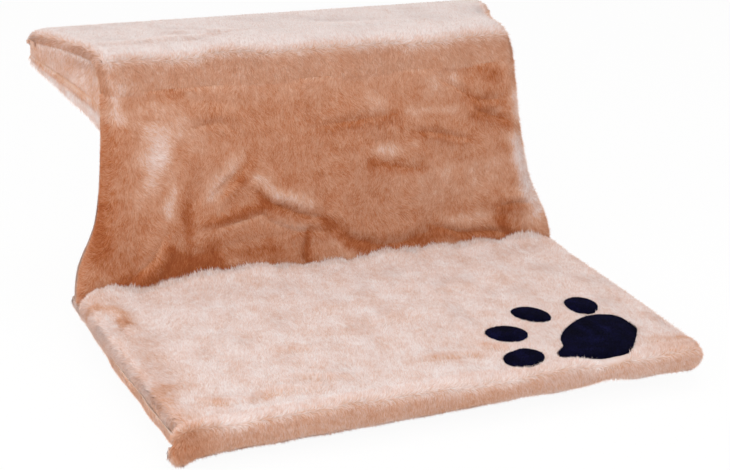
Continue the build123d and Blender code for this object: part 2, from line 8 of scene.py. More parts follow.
import logging
import math
from dataclasses import dataclass, field
from enum import Enum
from typing import Optional, Sequence

import bmesh
import bpy
import numpy as np
from mathutils import Matrix, Vector


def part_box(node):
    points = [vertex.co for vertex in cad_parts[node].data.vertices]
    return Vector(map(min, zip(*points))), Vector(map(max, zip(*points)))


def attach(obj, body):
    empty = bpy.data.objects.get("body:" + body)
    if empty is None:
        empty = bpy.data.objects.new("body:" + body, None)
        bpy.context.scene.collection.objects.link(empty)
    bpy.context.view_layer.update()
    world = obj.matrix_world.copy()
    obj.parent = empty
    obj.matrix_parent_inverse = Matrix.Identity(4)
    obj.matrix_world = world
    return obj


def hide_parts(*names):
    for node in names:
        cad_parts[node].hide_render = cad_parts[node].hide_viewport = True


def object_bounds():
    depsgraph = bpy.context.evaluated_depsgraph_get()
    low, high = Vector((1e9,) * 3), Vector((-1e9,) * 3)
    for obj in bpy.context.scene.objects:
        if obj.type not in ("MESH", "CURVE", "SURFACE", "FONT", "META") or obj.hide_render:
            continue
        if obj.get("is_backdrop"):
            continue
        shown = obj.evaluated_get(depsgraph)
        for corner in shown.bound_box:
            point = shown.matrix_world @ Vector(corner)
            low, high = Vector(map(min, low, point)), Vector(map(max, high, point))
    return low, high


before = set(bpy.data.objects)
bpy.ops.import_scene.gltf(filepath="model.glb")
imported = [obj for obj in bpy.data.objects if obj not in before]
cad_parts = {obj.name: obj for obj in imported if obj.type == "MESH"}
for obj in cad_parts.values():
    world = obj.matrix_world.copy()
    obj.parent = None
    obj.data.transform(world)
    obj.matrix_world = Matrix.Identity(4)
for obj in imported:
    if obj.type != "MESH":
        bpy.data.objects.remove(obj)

CAD_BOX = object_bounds()
LOG = logging.getLogger("bed")
MM = 0.001
Array = np.ndarray
Point = tuple[float, float]


class Nap(Enum):
    """Which way the pile of a panel is brushed."""

    BACK = (0.25, 1.0, 0.0)
    DOWN = (0.12, -0.20, -1.0)
    OVER = (0.15, 1.0, 0.45)
    DOWN_RIGHT = (0.45, 0.0, -1.0)
    REARWARD = (0.05, 1.0, -0.5)


# Helpers for meshes, fields and nodes


def linear(code: str) -> tuple[float, float, float, float]:
    """Turns an sRGB hex colour into linear RGBA.

    Args:
        code: Six hex digits after a hash sign.

    Returns:
        Linear red, green and blue, and 1 for alpha.
    """
    parts = [int(code[k:k + 2], 16) / 255 for k in (1, 3, 5)]
    red, green, blue = [p / 12.92 if p <= 0.04045 else ((p + 0.055) / 1.055) ** 2.4 for p in parts]
    return red, green, blue, 1.0


def add_node(tree: bpy.types.NodeTree, kind: str, settings: Optional[dict] = None,
             values: Optional[dict] = None, links: Optional[dict] = None) -> bpy.types.Node:
    """Adds one node with its settings, unlinked values and links.

    Args:
        tree: The node tree.
        kind: Blender's name of the node type.
        settings: Attributes of the node.
        values: Default values by socket name or index.
        links: Source sockets by socket name or index.

    Returns:
        The new node.
    """
    node = tree.nodes.new(kind)
    for name, value in (settings or {}).items():
        setattr(node, name, value)
    for name, value in (values or {}).items():
        node.inputs[name].default_value = value
    for name, source in (links or {}).items():
        tree.links.new(source, node.inputs[name])
    return node


def new_material(name: str) -> tuple[bpy.types.Material, bpy.types.NodeTree, bpy.types.Node]:
    """Starts a finish: the material, its tree and its shader."""
    made = bpy.data.materials.new(name)
    made.use_nodes = True
    return made, made.node_tree, made.node_tree.nodes["Principled BSDF"]


def link(name: str, data: bpy.types.ID) -> bpy.types.Object:
    """Makes an object of some data and puts it in the scene."""
    made = bpy.data.objects.new(name, data)
    bpy.context.scene.collection.objects.link(made)
    return made


def stand_for(made: bpy.types.Object, node: str) -> None:
    """Sets a piece on the frame in place of its solid."""
    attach(made, "root")
    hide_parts(node)
    LOG.info("%s stands for %s", made.name, node)


def smooth_faces(mesh: bpy.types.Mesh) -> None:
    """Shades every face of a mesh smooth."""
    mesh.polygons.foreach_set("use_smooth", [True] * len(mesh.polygons))


def seen_directly(tree: bpy.types.NodeTree) -> bpy.types.NodeSocket:
    """1 where the camera or a mirror image sees a surface, 0 where light bounces off it."""
    path = add_node(tree, "ShaderNodeLightPath")
    return add_node(tree, "ShaderNodeMath", {"operation": "MAXIMUM"},
                    links={0: path.outputs["Is Camera Ray"], 1: path.outputs["Is Glossy Ray"]}).outputs[0]


def smoothstep(value: Array, low: float, high: float) -> Array:
    """Eases from 0 at low to 1 at high."""
    t = np.clip((value - low) / (high - low), 0.0, 1.0)
    return t * t * (3 - 2 * t)


def ripple(x: Array, y: Array, wavelength: float, seed: int) -> Array:
    """Soft random field between about -1 and 1, the same on each run.

    Args:
        x: First coordinate, in metres.
        y: Second coordinate, in metres.
        wavelength: Usual distance between crests, in metres.
        seed: Fixed seed of the field.

    Returns:
        The field at each point.
    """
    source = np.random.default_rng(seed)
    total = np.zeros(np.broadcast(x, y).shape)
    waves = 9
    for _ in range(waves):
        angle = source.uniform(0, 2 * math.pi)
        phase = source.uniform(0, 2 * math.pi)
        scale = source.uniform(0.6, 1.6)
        number = 2 * math.pi / (wavelength * scale)
        total += np.sin(number * (x * math.cos(angle) + y * math.sin(angle)) + phase)
    return total / math.sqrt(waves)


def along_line(x: Array, y: Array, line: Sequence[Point]) -> tuple[Array, Array]:
    """Distance of points to a chain of given points.

    Args:
        x: First coordinate, in metres.
        y: Second coordinate, in metres.
        line: The chain, in millimetres.

    Returns:
        Signed distance, positive on the chain's left, and the share along the chain.
    """
    points = np.array(line, float) * MM
    lengths = np.linalg.norm(np.diff(points, axis=0), axis=1)
    starts = np.concatenate([[0.0], np.cumsum(lengths)])
    best = np.full(x.shape, 1e9)
    signed = np.zeros(x.shape)
    share = np.zeros(x.shape)
    for k, (a, b) in enumerate(zip(points, points[1:])):
        along = (b - a) / lengths[k]
        dx, dy = x - a[0], y - a[1]
        raw = dx * along[0] + dy * along[1]
        t = np.clip(raw, 0.0, lengths[k])
        gap = np.hypot(dx - t * along[0], dy - t * along[1])
        nearer = gap < best
        side = np.sign(along[0] * dy - along[1] * dx)
        best = np.where(nearer, gap, best)
        signed = np.where(nearer, gap * side, signed)
        share = np.where(nearer, (starts[k] + t) / starts[-1], share)
    return signed, share


@dataclass(frozen=True)
class Fold:
    """A soft fold: its line, half width and height in millimetres.

    The lip stands on the line's left and a crease runs along its right. A height below nothing
    makes a plain crease.
    """

    line: tuple[Point, ...]
    width: float
    height: float
    crease: float = 0.6

    def lift(self, x: Array, y: Array) -> Array:
        """Height that the fold adds, in metres."""
        gap, share = along_line(x, y, self.line)
        fade = np.sqrt(np.clip(np.sin(np.pi * np.clip(share, 0.02, 0.98)), 0, 1))
        width = self.width * MM
        lip = np.exp(-((gap - 0.55 * width) / width) ** 2)
        groove = np.exp(-((gap + 0.45 * width) / (0.5 * width)) ** 2)
        return self.height * MM * fade * (lip - self.crease * groove)


@dataclass(frozen=True)
class Stroke:
    """A stroke on the pile: its line and half width in millimetres, what it does to the tint, and how far it
    turns the nap. Strokes laid beside a fold darken it, which is painted shade; the others are brushed places
    in the nap.
    """

    line: tuple[Point, ...]
    width: float
    tint: float
    turn: float = 0.0

    def weight(self, x: Array, y: Array) -> Array:
        """How strongly the stroke shows at each point, from 0 to 1."""
        gap, _ = along_line(x, y, self.line)
        wobble = 1 + 0.25 * ripple(x, y, 0.03, 5)
        return np.exp(-(gap / (self.width * MM * wobble)) ** 2)


@dataclass
class Cloth:
    """A cloth surface as a grid of points, with the fields that its pile and colour follow."""

    points: Array
    outward: Array
    x: Array
    y: Array
    tint: Array = field(default=None)
    pile: Array = field(default=None)
    rise: Array = field(default=None)
    reach: Array = field(default=None)
    nap: Array = field(default=None)
    lit: Array = field(default=None)

    def __post_init__(self) -> None:
        """Fills the fields that were left out."""
        shape = self.points.shape[:2]
        self.tint = np.full(shape, 0.25) if self.tint is None else self.tint
        self.pile = np.ones(shape) if self.pile is None else self.pile
        self.rise = np.zeros(shape) if self.rise is None else self.rise
        self.reach = np.ones(shape) if self.reach is None else self.reach
        self.nap = np.zeros(shape + (3,)) if self.nap is None else self.nap
        if self.lit is None:
            self.lit = np.broadcast_to(0.6 * self.outward, shape + (3,))

    def light(self, ward: Sequence[float], rim: Optional[Array] = None,
              rim_ward: Sequence[float] = (0, 0, 0)) -> None:
        """Sets which way the pile's shading leans, as the fibres of a plush scatter light.

        Args:
            ward: The lean on the panel's face.
            rim: Share of the rim at each point.
            rim_ward: The lean on the rim.
        """
        share = np.zeros(self.points.shape[:2]) if rim is None else rim
        self.lit = np.array(ward) * (1 - share[..., None]) + np.array(rim_ward) * share[..., None]

    def normals(self) -> Array:
        """Unit normals of the grid, on its outward side."""
        rows = np.gradient(self.points, axis=0)
        columns = np.gradient(self.points, axis=1)
        normals = np.cross(rows, columns)
        normals /= np.maximum(np.linalg.norm(normals, axis=2, keepdims=True), 1e-9)
        if self.flipped():
            normals = -normals
        return normals

    def flipped(self) -> bool:
        """Whether rows cross columns points inwards."""
        rows = np.gradient(self.points, axis=0)
        columns = np.gradient(self.points, axis=1)
        return float((np.cross(rows, columns) * self.outward).sum()) < 0

    def brush(self, way: Nap, swirl: float, seed: int, strokes: Sequence[Stroke] = (),
              other: Optional[Nap | Array] = None, blend: Optional[Array] = None) -> None:
        """Lays the pile one way, turned a little from place to place.

        Args:
            way: The main way of the nap.
            swirl: How far it turns, in radians.
            seed: Fixed seed of the turns.
            strokes: Places that turn it further.
            other: A second way, where the panel changes over.
            blend: Share of the second way at each point.
        """
        normals = self.normals()
        main = np.broadcast_to(np.array(way.value), normals.shape)
        if other is not None:
            second = np.array(other.value) if isinstance(other, Nap) else other
            main = main * (1 - blend[..., None]) + second * blend[..., None]
        flat = main - normals * (main * normals).sum(axis=2, keepdims=True)
        flat /= np.maximum(np.linalg.norm(flat, axis=2, keepdims=True), 1e-6)
        side = np.cross(normals, flat)
        angle = swirl * ripple(self.x, self.y, 0.05, seed)
        for stroke in strokes:
            angle = angle + stroke.turn * stroke.weight(self.x, self.y)
        angle = np.clip(angle, -0.9, 0.9)
        self.nap = flat * np.cos(angle)[..., None] + side * np.sin(angle)[..., None]

    def paint(self, base: Array, strokes: Sequence[Stroke], mottle: float, seed: int) -> None:
        """Sets the tint from a base, the strokes and a soft mottle."""
        broad = mottle * ripple(self.x, self.y, 0.028, seed)
        fine = 0.5 * mottle * ripple(self.x, self.y, 0.010, seed + 1)
        tint = base + broad + fine
        for stroke in strokes:
            tint = tint + stroke.tint * stroke.weight(self.x, self.y)
        self.tint = np.clip(tint, 0.0, 1.0)

    def shares(self) -> Array:
        """Position on the cloth from 0 to 1 both ways, by distance, in one scale."""
        rows = np.linalg.norm(np.diff(self.points, axis=0), axis=2).mean(axis=1)
        columns = np.linalg.norm(np.diff(self.points, axis=1), axis=2).mean(axis=0)
        down = np.concatenate([[0.0], np.cumsum(rows)])
        across = np.concatenate([[0.0], np.cumsum(columns)])
        size = max(down[-1], across[-1])
        v, u = np.meshgrid(down / size, across / size, indexing="ij")
        return np.stack([u, v, np.zeros_like(u)], axis=2)

    def cut_size(self) -> tuple[float, float]:
        """Width and length of the cloth as it was cut, in metres."""
        down = np.linalg.norm(np.diff(self.points, axis=0), axis=2).sum(axis=0).max()
        across = np.linalg.norm(np.diff(self.points, axis=1), axis=2).sum(axis=1).max()
        return round(float(across), 3), round(float(down), 3)

    def area(self) -> float:
        """Area of the cloth as it was cut, in square metres."""
        rows = self.points[1:, :-1] - self.points[:-1, :-1]
        columns = self.points[:-1, 1:] - self.points[:-1, :-1]
        width, length = self.cut_size()
        return min(float(np.linalg.norm(np.cross(rows, columns), axis=2).sum()), width * length)

    def mesh(self, name: str, keep: Optional[Array] = None) -> bpy.types.Mesh:
        """Makes a mesh of the grid with its fields as attributes.

        Args:
            name: Name of the mesh.
            keep: Which quads stay, where some are cut out.

        Returns:
            The mesh.
        """
        rows, columns = self.points.shape[:2]
        index = np.arange(rows * columns).reshape(rows, columns)
        quads = np.stack([index[:-1, :-1], index[:-1, 1:], index[1:, 1:], index[1:, :-1]], axis=2)
        if not self.flipped():
            quads = quads[..., ::-1]
        faces = quads[keep] if keep is not None else quads.reshape(-1, 4)
        made = bpy.data.meshes.new(name)
        made.from_pydata(self.points.reshape(-1, 3).tolist(), [], faces.reshape(-1, 4).tolist())
        for key in ("tint", "pile", "rise", "reach"):
            attribute = made.attributes.new(key, "FLOAT", "POINT")
            attribute.data.foreach_set("value", getattr(self, key).astype(np.float32).ravel())
        shares = self.shares()
        for key, values in (("nap", self.nap), ("lit", self.lit), ("root_share", shares)):
            attribute = made.attributes.new(key, "FLOAT_VECTOR", "POINT")
            attribute.data.foreach_set("vector", values.astype(np.float32).ravel())
        layer = made.uv_layers.new(name="OFBake")
        corners = np.zeros(len(made.loops), np.int32)
        made.loops.foreach_get("vertex_index", corners)
        layer.data.foreach_set("uv", shares.reshape(-1, 3)[corners, :2].astype(np.float32).ravel())
        smooth_faces(made)
        made.update()
        return made

    def piece(self, name: str, material: bpy.types.Material, wall: float,
              keep: Optional[Array] = None) -> bpy.types.Object:
        """Makes the cloth an object with a wall of its own.

        Args:
            name: Name of the piece.
            material: Its finish.
            wall: Thickness that grows inwards, in metres.
            keep: Which quads stay.

        Returns:
            The object.
        """
        made = link(name, self.mesh(name, keep))
        made.data.materials.append(material)
        weld(made)
        solid = made.modifiers.new("Wall", "SOLIDIFY")
        solid.thickness = wall
        solid.offset = -1.0
        return made


def cloth_of_rows(rows: Sequence[tuple[Array, Array, Array, Array]],
                  outward: Sequence[float]) -> tuple[Cloth, Array]:
    """Makes a cloth of rows of points.

    Args:
        rows: Each row's points, places across, places along, and share of the rim.
        outward: Rough outward direction.

    Returns:
        The cloth, and the rim's share at each point.
    """
    points, x, y, side = (np.array(part) for part in zip(*rows))
    return Cloth(points, np.array(outward, float), x, y), side


def weld(made: bpy.types.Object) -> None:
    """Merges points that lie together, such as a closed end."""
    work = bmesh.new()
    work.from_mesh(made.data)
    bmesh.ops.remove_doubles(work, verts=work.verts, dist=2e-5)
    work.to_mesh(made.data)
    work.free()


# Finishes


@dataclass(frozen=True)
class Plush:
    """Dyed polyester plush, sheared and brushed: matt, soft, paler where the nap lies flat. Its tint is also
    set pale on faces that look up and darker on upright and side faces, which is painted light and shade.
    """

    name: str
    stops: tuple[tuple[float, str], ...]
    mottle_mm: float = 6.0
    mottle: float = 0.06
    spread: float = 0.15
    # Brightness of a fibre at its root, rising to 1 at its tip: painted shade deep in the pile
    root: float = 0.74
    specular: float = 0.15
    sheen: float = 0.12
    roughness: float = 0.95

    def material(self) -> bpy.types.Material:
        """Builds the finish, read from the tint, shade and tip attributes."""
        made, tree, shader = new_material(self.name)
        tint, shade, tip = (add_node(tree, "ShaderNodeAttribute", {"attribute_name": key})
                            for key in ("tint", "shade", "tip"))
        place = add_node(tree, "ShaderNodeTexCoord")
        grain = {"Scale": 1 / (self.mottle_mm * MM), "Detail": 3.0}
        noise = add_node(tree, "ShaderNodeTexNoise", values=grain, links={"Vector": place.outputs["Object"]})
        span = {"From Min": 0.3, "From Max": 0.7, "To Min": -self.mottle, "To Max": self.mottle}
        patch = add_node(tree, "ShaderNodeMapRange", values=span, links={"Value": noise.outputs["Fac"]})
        fibre = add_node(tree, "ShaderNodeMath", {"operation": "MULTIPLY_ADD"}, {1: self.spread},
                         {0: shade.outputs["Fac"], 2: tint.outputs["Fac"]})
        whole = add_node(tree, "ShaderNodeMath", {"operation": "ADD"},
                         links={0: fibre.outputs["Value"], 1: patch.outputs["Result"]})
        ramp = add_node(tree, "ShaderNodeValToRGB", links={"Fac": whole.outputs["Value"]})
        marks = ramp.color_ramp.elements
        marks[0].position, marks[1].position = self.stops[0][0], self.stops[-1][0]
        marks[0].color, marks[1].color = linear(self.stops[0][1]), linear(self.stops[-1][1])
        for where, code in self.stops[1:-1]:
            marks.new(where).color = linear(code)
        # Darken each fibre towards its root: painted shade
        light = add_node(tree, "ShaderNodeMapRange", values={"To Min": self.root, "To Max": 1.0},
                         links={"Value": tip.outputs["Fac"]})
        grey = add_node(tree, "ShaderNodeCombineColor",
                        links={name: light.outputs["Result"] for name in ("Red", "Green", "Blue")})
        mixed = add_node(tree, "ShaderNodeMix", {"data_type": "RGBA", "blend_type": "MULTIPLY"}, {0: 1.0},
                         {6: ramp.outputs["Color"], 7: grey.outputs["Color"]})
        tree.links.new(mixed.outputs[2], shader.inputs["Base Color"])
        shader.inputs["Roughness"].default_value = self.roughness
        shader.inputs["Specular IOR Level"].default_value = self.specular
        shader.inputs["Sheen Weight"].default_value = self.sheen
        shader.inputs["Sheen Roughness"].default_value = 0.5
        return made


@dataclass(frozen=True)
class Woven:
    """Plain-woven polyester lining: fine square threads, a slight lustre."""

    name: str
    colour: str
    shadow: str
    thread_mm: float = 0.9
    roughness: float = 0.8

    def material(self) -> bpy.types.Material:
        """Builds the weave from two crossed waves in object coordinates."""
        made, tree, shader = new_material(self.name)
        place = add_node(tree, "ShaderNodeTexCoord")
        scale = 1 / (self.thread_mm * MM) * 2 * math.pi / 20
        waves = []
        for direction in ("X", "DIAGONAL"):
            waves.append(add_node(tree, "ShaderNodeTexWave", {"bands_direction": direction}, {"Scale": scale},
                                  {"Vector": place.outputs["Object"]}))
        both = add_node(tree, "ShaderNodeMath", {"operation": "MULTIPLY"},
                        links={0: waves[0].outputs["Fac"], 1: waves[1].outputs["Fac"]})
        noise = add_node(tree, "ShaderNodeTexNoise", values={"Scale": 60.0, "Detail": 2.0},
                         links={"Vector": place.outputs["Object"]})
        total = add_node(tree, "ShaderNodeMath", {"operation": "MULTIPLY_ADD"}, {1: 0.6},
                         {0: both.outputs["Value"], 2: noise.outputs["Fac"]})
        ramp = add_node(tree, "ShaderNodeValToRGB", links={"Fac": total.outputs["Value"]})
        ramp.color_ramp.elements[0].position = 0.25
        ramp.color_ramp.elements[1].position = 0.9
        ramp.color_ramp.elements[0].color = linear(self.shadow)
        ramp.color_ramp.elements[1].color = linear(self.colour)
        bump = add_node(tree, "ShaderNodeBump", values={"Strength": 0.35, "Distance": 0.0003},
                        links={"Height": both.outputs["Value"]})
        tree.links.new(ramp.outputs["Color"], shader.inputs["Base Color"])
        tree.links.new(bump.outputs["Normal"], shader.inputs["Normal"])
        shader.inputs["Roughness"].default_value = self.roughness
        return made


@dataclass(frozen=True)
class Hard:
    """A hard finish: colour that varies a little, typical metallic and roughness, and a fine bump."""

    name: str
    colour: str
    worn: str
    metallic: float
    roughness: float
    grain_mm: float
    bump: float = 0.0001

    def material(self) -> bpy.types.Material:
        """Builds the finish from noise at the real grain size."""
        made, tree, shader = new_material(self.name)
        place = add_node(tree, "ShaderNodeTexCoord")
        fine = add_node(tree, "ShaderNodeTexNoise", values={"Scale": 1 / (self.grain_mm * MM), "Detail": 4.0},
                        links={"Vector": place.outputs["Object"]})
        broad = add_node(tree, "ShaderNodeTexNoise", values={"Scale": 45.0, "Detail": 2.0},
                         links={"Vector": place.outputs["Object"]})
        ramp = add_node(tree, "ShaderNodeValToRGB", links={"Fac": broad.outputs["Fac"]})
        ramp.color_ramp.elements[0].position = 0.35
        ramp.color_ramp.elements[1].position = 0.75
        ramp.color_ramp.elements[0].color = linear(self.colour)
        ramp.color_ramp.elements[1].color = linear(self.worn)
        rough = add_node(tree, "ShaderNodeMapRange", values={"To Min": self.roughness * 0.85,
                         "To Max": min(1.0, self.roughness * 1.15)}, links={"Value": fine.outputs["Fac"]})
        bump = add_node(tree, "ShaderNodeBump", values={"Strength": 0.3, "Distance": self.bump},
                        links={"Height": fine.outputs["Fac"]})
        tree.links.new(ramp.outputs["Color"], shader.inputs["Base Color"])
        tree.links.new(rough.outputs["Result"], shader.inputs["Roughness"])
        tree.links.new(bump.outputs["Normal"], shader.inputs["Normal"])
        shader.inputs["Metallic"].default_value = self.metallic
        return made


# Pale pink-beige where the nap lies flat, through tan to burnt orange where it opens; the panels also take
# the pale end on faces that look up and the darker end on upright and side faces, which is painted light and
# shade
PALE_PLUSH = Plush("plush_pile_pink_beige_dyed", (
    (0.00, "#F6EAE6"), (0.18, "#ECD5CD"), (0.36, "#E3BDAA"), (0.52, "#D9A588"),
    (0.70, "#CB8F6E"), (0.86, "#BC7147"), (1.00, "#A3552D"),
))
NAVY_PLUSH = Plush("plush_pile_navy_dyed", ((0.0, "#17173F"), (0.4, "#090920"), (1.0, "#04040D")),
                   mottle_mm=4.0, mottle=0.12, spread=0.22, root=0.5, specular=0.04, sheen=0.0)
# The lining is a warm beige plain weave, drawn with threads three times as coarse so that they show
LINING = Woven("polyester_lining_woven", "#DCC3B4", "#B79784")
# Bleached fibre fill, carded and loose: a matt white with a faint clumping
FIBRE_FILL = Hard("polyester_fibre_fill_carded", "#F1EEE8", "#E2DDD4", 0.0, 0.95, 2.5, 0.0012)
# Mild steel tube, powder coated white: an even satin skin with a faint orange peel
COATED_STEEL = Hard("steel_tube_powder_coated", "#E4E2DE", "#D6D3CD", 0.0, 0.42, 1.2)
# Rolled steel strip, powder coated like the tube
HOOK_STEEL = Hard("steel_strip_powder_coated", "#DCDAD6", "#CAC7C1", 0.0, 0.45, 1.2)
# Zinc-plated fasteners: bluish grey metal with a dull sheen
ZINC = Hard("steel_zinc_plated", "#B9BDC2", "#8F9499", 1.0, 0.38, 0.6)
# Moulded polyethylene: dark grey, waxy, with a fine eroded texture
PLASTIC = Hard("polyethylene_moulded", "#2B2B2D", "#3A3A3C", 0.0, 0.5, 0.8)
# Woven nylon tape with loops or hooks: a dense matt nap
TAPE = Woven("nylon_closure_tape_woven", "#CDB8A8", "#A58F80", thread_mm=1.4, roughness=0.95)


# The bed's own form


@dataclass
class BedForm:
    """Sections of the cover, from the bed's driving sizes and the places of its bars."""

    seat_depth: float = 0.272
    back_height: float = 0.202
    back_lean: float = 0.042
    front_width: float = 0.455
    crease_width: float = 0.465
    top_width: float = 0.404
    rear_width: float = 0.472
    rail_spacing: float = 0.370
    bend_radius: float = 0.028
    cover_half: float = 0.0115
    base_inset: float = 0.0012
    crease_fill: float = 0.0025
    rear_swell: float = 0.0135
    side_points: int = 7
    seam_rise: float = 0.0004
    seam_tuck: float = 0.0005
    ease_reach: float = 0.08

    def __post_init__(self) -> None:
        """Reads the bars' places from the frame and works out the corners."""
        low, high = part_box("front_crossbar")
        self.front_y, self.seat_z = (low.y + high.y) / 2, (low.z + high.z) / 2
        low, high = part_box("rear_crossbar")
        self.rear_y, self.shelf_z = (low.y + high.y) / 2, (low.z + high.z) / 2
        self.crease_y = self.front_y + self.seat_depth
        self.lean = math.atan2(self.back_lean, self.back_height)
        reach = self.bend_radius * math.tan((math.pi / 2 - self.lean) / 2)
        self.back_length = math.hypot(self.back_height, self.back_lean) - reach
        self.turn = math.pi / 2 - self.lean
        self.bend_length = self.bend_radius * self.turn
        self.shelf_start = self.crease_y + self.back_lean + reach
        self.shelf_length = self.rear_y - self.shelf_start
        self.height = self.cover_half - self.base_inset
        self.mitre = math.tan((math.pi / 2 - self.lean) / 2)

    def station(self, along: float) -> tuple[Array, Array]:
        """Mid-plane point and outward normal at a distance from the crease, up the back and on."""
        up = np.array([0.0, math.sin(self.lean), math.cos(self.lean)])
        out = np.array([0.0, -math.cos(self.lean), math.sin(self.lean)])
        crease = np.array([0.0, self.crease_y, self.seat_z])
        if along <= self.back_length:
            return crease + up * along, out
        over = along - self.back_length
        if over <= self.bend_length:
            angle = self.lean + over / self.bend_radius
            normal = np.array([0.0, -math.cos(angle), math.sin(angle)])
            centre = crease + up * self.back_length - out * self.bend_radius
            return centre + normal * self.bend_radius, normal
        place = np.array([0.0, self.shelf_start + over - self.bend_length, self.shelf_z])
        return place, np.array([0.0, 0.0, 1.0])

    def eased(self, table: Sequence[Point], share: float) -> float:
        """Value of a table of (place, value) rows, averaged over a short reach to either side."""
        places, values = zip(*table)
        spots = share + np.linspace(-self.ease_reach, self.ease_reach, 9)
        return float(np.interp(np.clip(spots, 0, 1), places, values).mean())

    def seat_half(self, from_crease: float) -> float:
        """Half width of the seat's cover at a share of its depth from the crease."""
        table = ((0.0, 0.0), (0.25, -0.20), (0.55, 0.10), (0.80, 0.65), (1.0, 1.0))
        width = self.crease_width + (self.front_width - self.crease_width) * self.eased(table, from_crease)
        return width / 2 - self.base_inset

    def back_half(self, up: float) -> float:
        """Half width of the back's cover at a share of its height from the crease."""
        table = ((0.0, 1.0), (0.12, 0.95), (0.26, 0.66), (0.36, 0.42), (0.5, 0.25), (0.75, 0.08), (1.0, 0.0))
        width = self.top_width + (self.crease_width - self.top_width) * self.eased(table, up)
        return width / 2 - self.base_inset

    def shelf_half(self, share: float) -> float:
        """Half width of the shelf's cover at a share of its depth from the top bend."""
        table = ((0.0, 0.0), (0.25, 0.16), (0.55, 0.45), (0.80, 0.78), (1.0, 1.0))
        width = self.top_width + (self.rear_width - self.top_width) * self.eased(table, share)
        return width / 2 - self.base_inset

    def section(self, half: float, height: float, flat_points: int,
                side_round: float = 0.0120) -> tuple[Array, Array, Array]:
        """One side of the cover's section, from the left seam over the top to the right seam.

        Args:
            half: Half width.
            height: Height over the mid-plane.
            flat_points: Points across the flat part.
            side_round: How far in from the seam the side's rounding reaches.

        Returns:
            Places across, heights, and how far each point is round the side, from 1 at the seam to 0.
        """
        angle = np.linspace(0, math.pi / 2, self.side_points)
        tuck = self.seam_tuck * np.exp(-(angle / 0.35) ** 2)
        side_u = half - side_round * (1 - np.cos(angle)) - tuck
        side_v = self.seam_rise + (height - self.seam_rise) * np.sin(angle)
        flat = np.linspace(-(half - side_round), half - side_round, flat_points + 2)[1:-1]
        u = np.concatenate([-side_u, flat, side_u[::-1]])
        v = np.concatenate([side_v, np.full(flat_points, height), side_v[::-1]])
        turned = np.concatenate([1 - np.sin(angle), np.zeros(flat_points), (1 - np.sin(angle))[::-1]])
        return u, v, turned


FORM = BedForm()
RAILS = ("left_rail", "right_rail")

SHELF_PAD_RISE = 0.0056


# Folds and tint strokes, in millimetres: x from the middle, and then the distance
# up the back from the crease, along the shelf from the top bend, or back from the front bar.
# The strokes laid beside the folds darken them, which is painted shade; the others are brushed
# places in the nap.

BACK_FOLDS = (
    Fold(((-77, 96), (-69, 90), (-55, 78), (-32, 67), (-8, 58)), 7.0, 3.0, 0.7),
    Fold(((-9, 58), (7, 50), (19, 38), (47, 28), (72, 28), (93, 33)), 9.0, 2.4, 0.6),
    Fold(((-119, 58), (-87, 64), (-58, 69)), 5.0, 1.2, 0.8),
    Fold(((-63, 66), (-52, 58), (-33, 49), (-1, 45)), 5.0, 1.6, 0.7),
    Fold(((-145, 36), (-117, 41), (-89, 46), (-57, 48), (-24, 50)), 7.0, 0.8, 0.3),
    Fold(((-128, 152), (-112, 154), (-96, 154), (-82, 143)), 7.0, 2.0, 0.6),
    Fold(((-82, 112), (-88, 104), (-100, 95), (-112, 84)), 5.0, -2.0, -0.4),
    Fold(((-130, 92), (-133, 75), (-135, 55)), 6.0, -2.0, -0.4),
    Fold(((-155, 52), (-167, 32), (-191, 13)), 8.0, 2.4, 0.8),
    Fold(((-23, 46), (-24, 26), (-24, 8)), 5.0, -2.2, -0.5),
    Fold(((-6, 143), (29, 146), (66, 148)), 7.0, 1.3, 0.8),
    Fold(((85, 131), (112, 127), (148, 117)), 6.0, 1.3, 0.8),
    Fold(((118, 178), (140, 165), (158, 153), (182, 153)), 7.0, 1.8, 0.8),
    Fold(((145, 159), (157, 143), (182, 134), (200, 128)), 6.0, 1.9, 0.9),
    Fold(((107, 39), (133, 29), (168, 27), (186, 22)), 6.0, 1.9, 0.9),
    Fold(((176, 50), (194, 51), (210, 49)), 5.0, 2.2, 0.9),
    Fold(((48, 106), (70, 100), (96, 95)), 8.0, 1.6, 0.5),
)

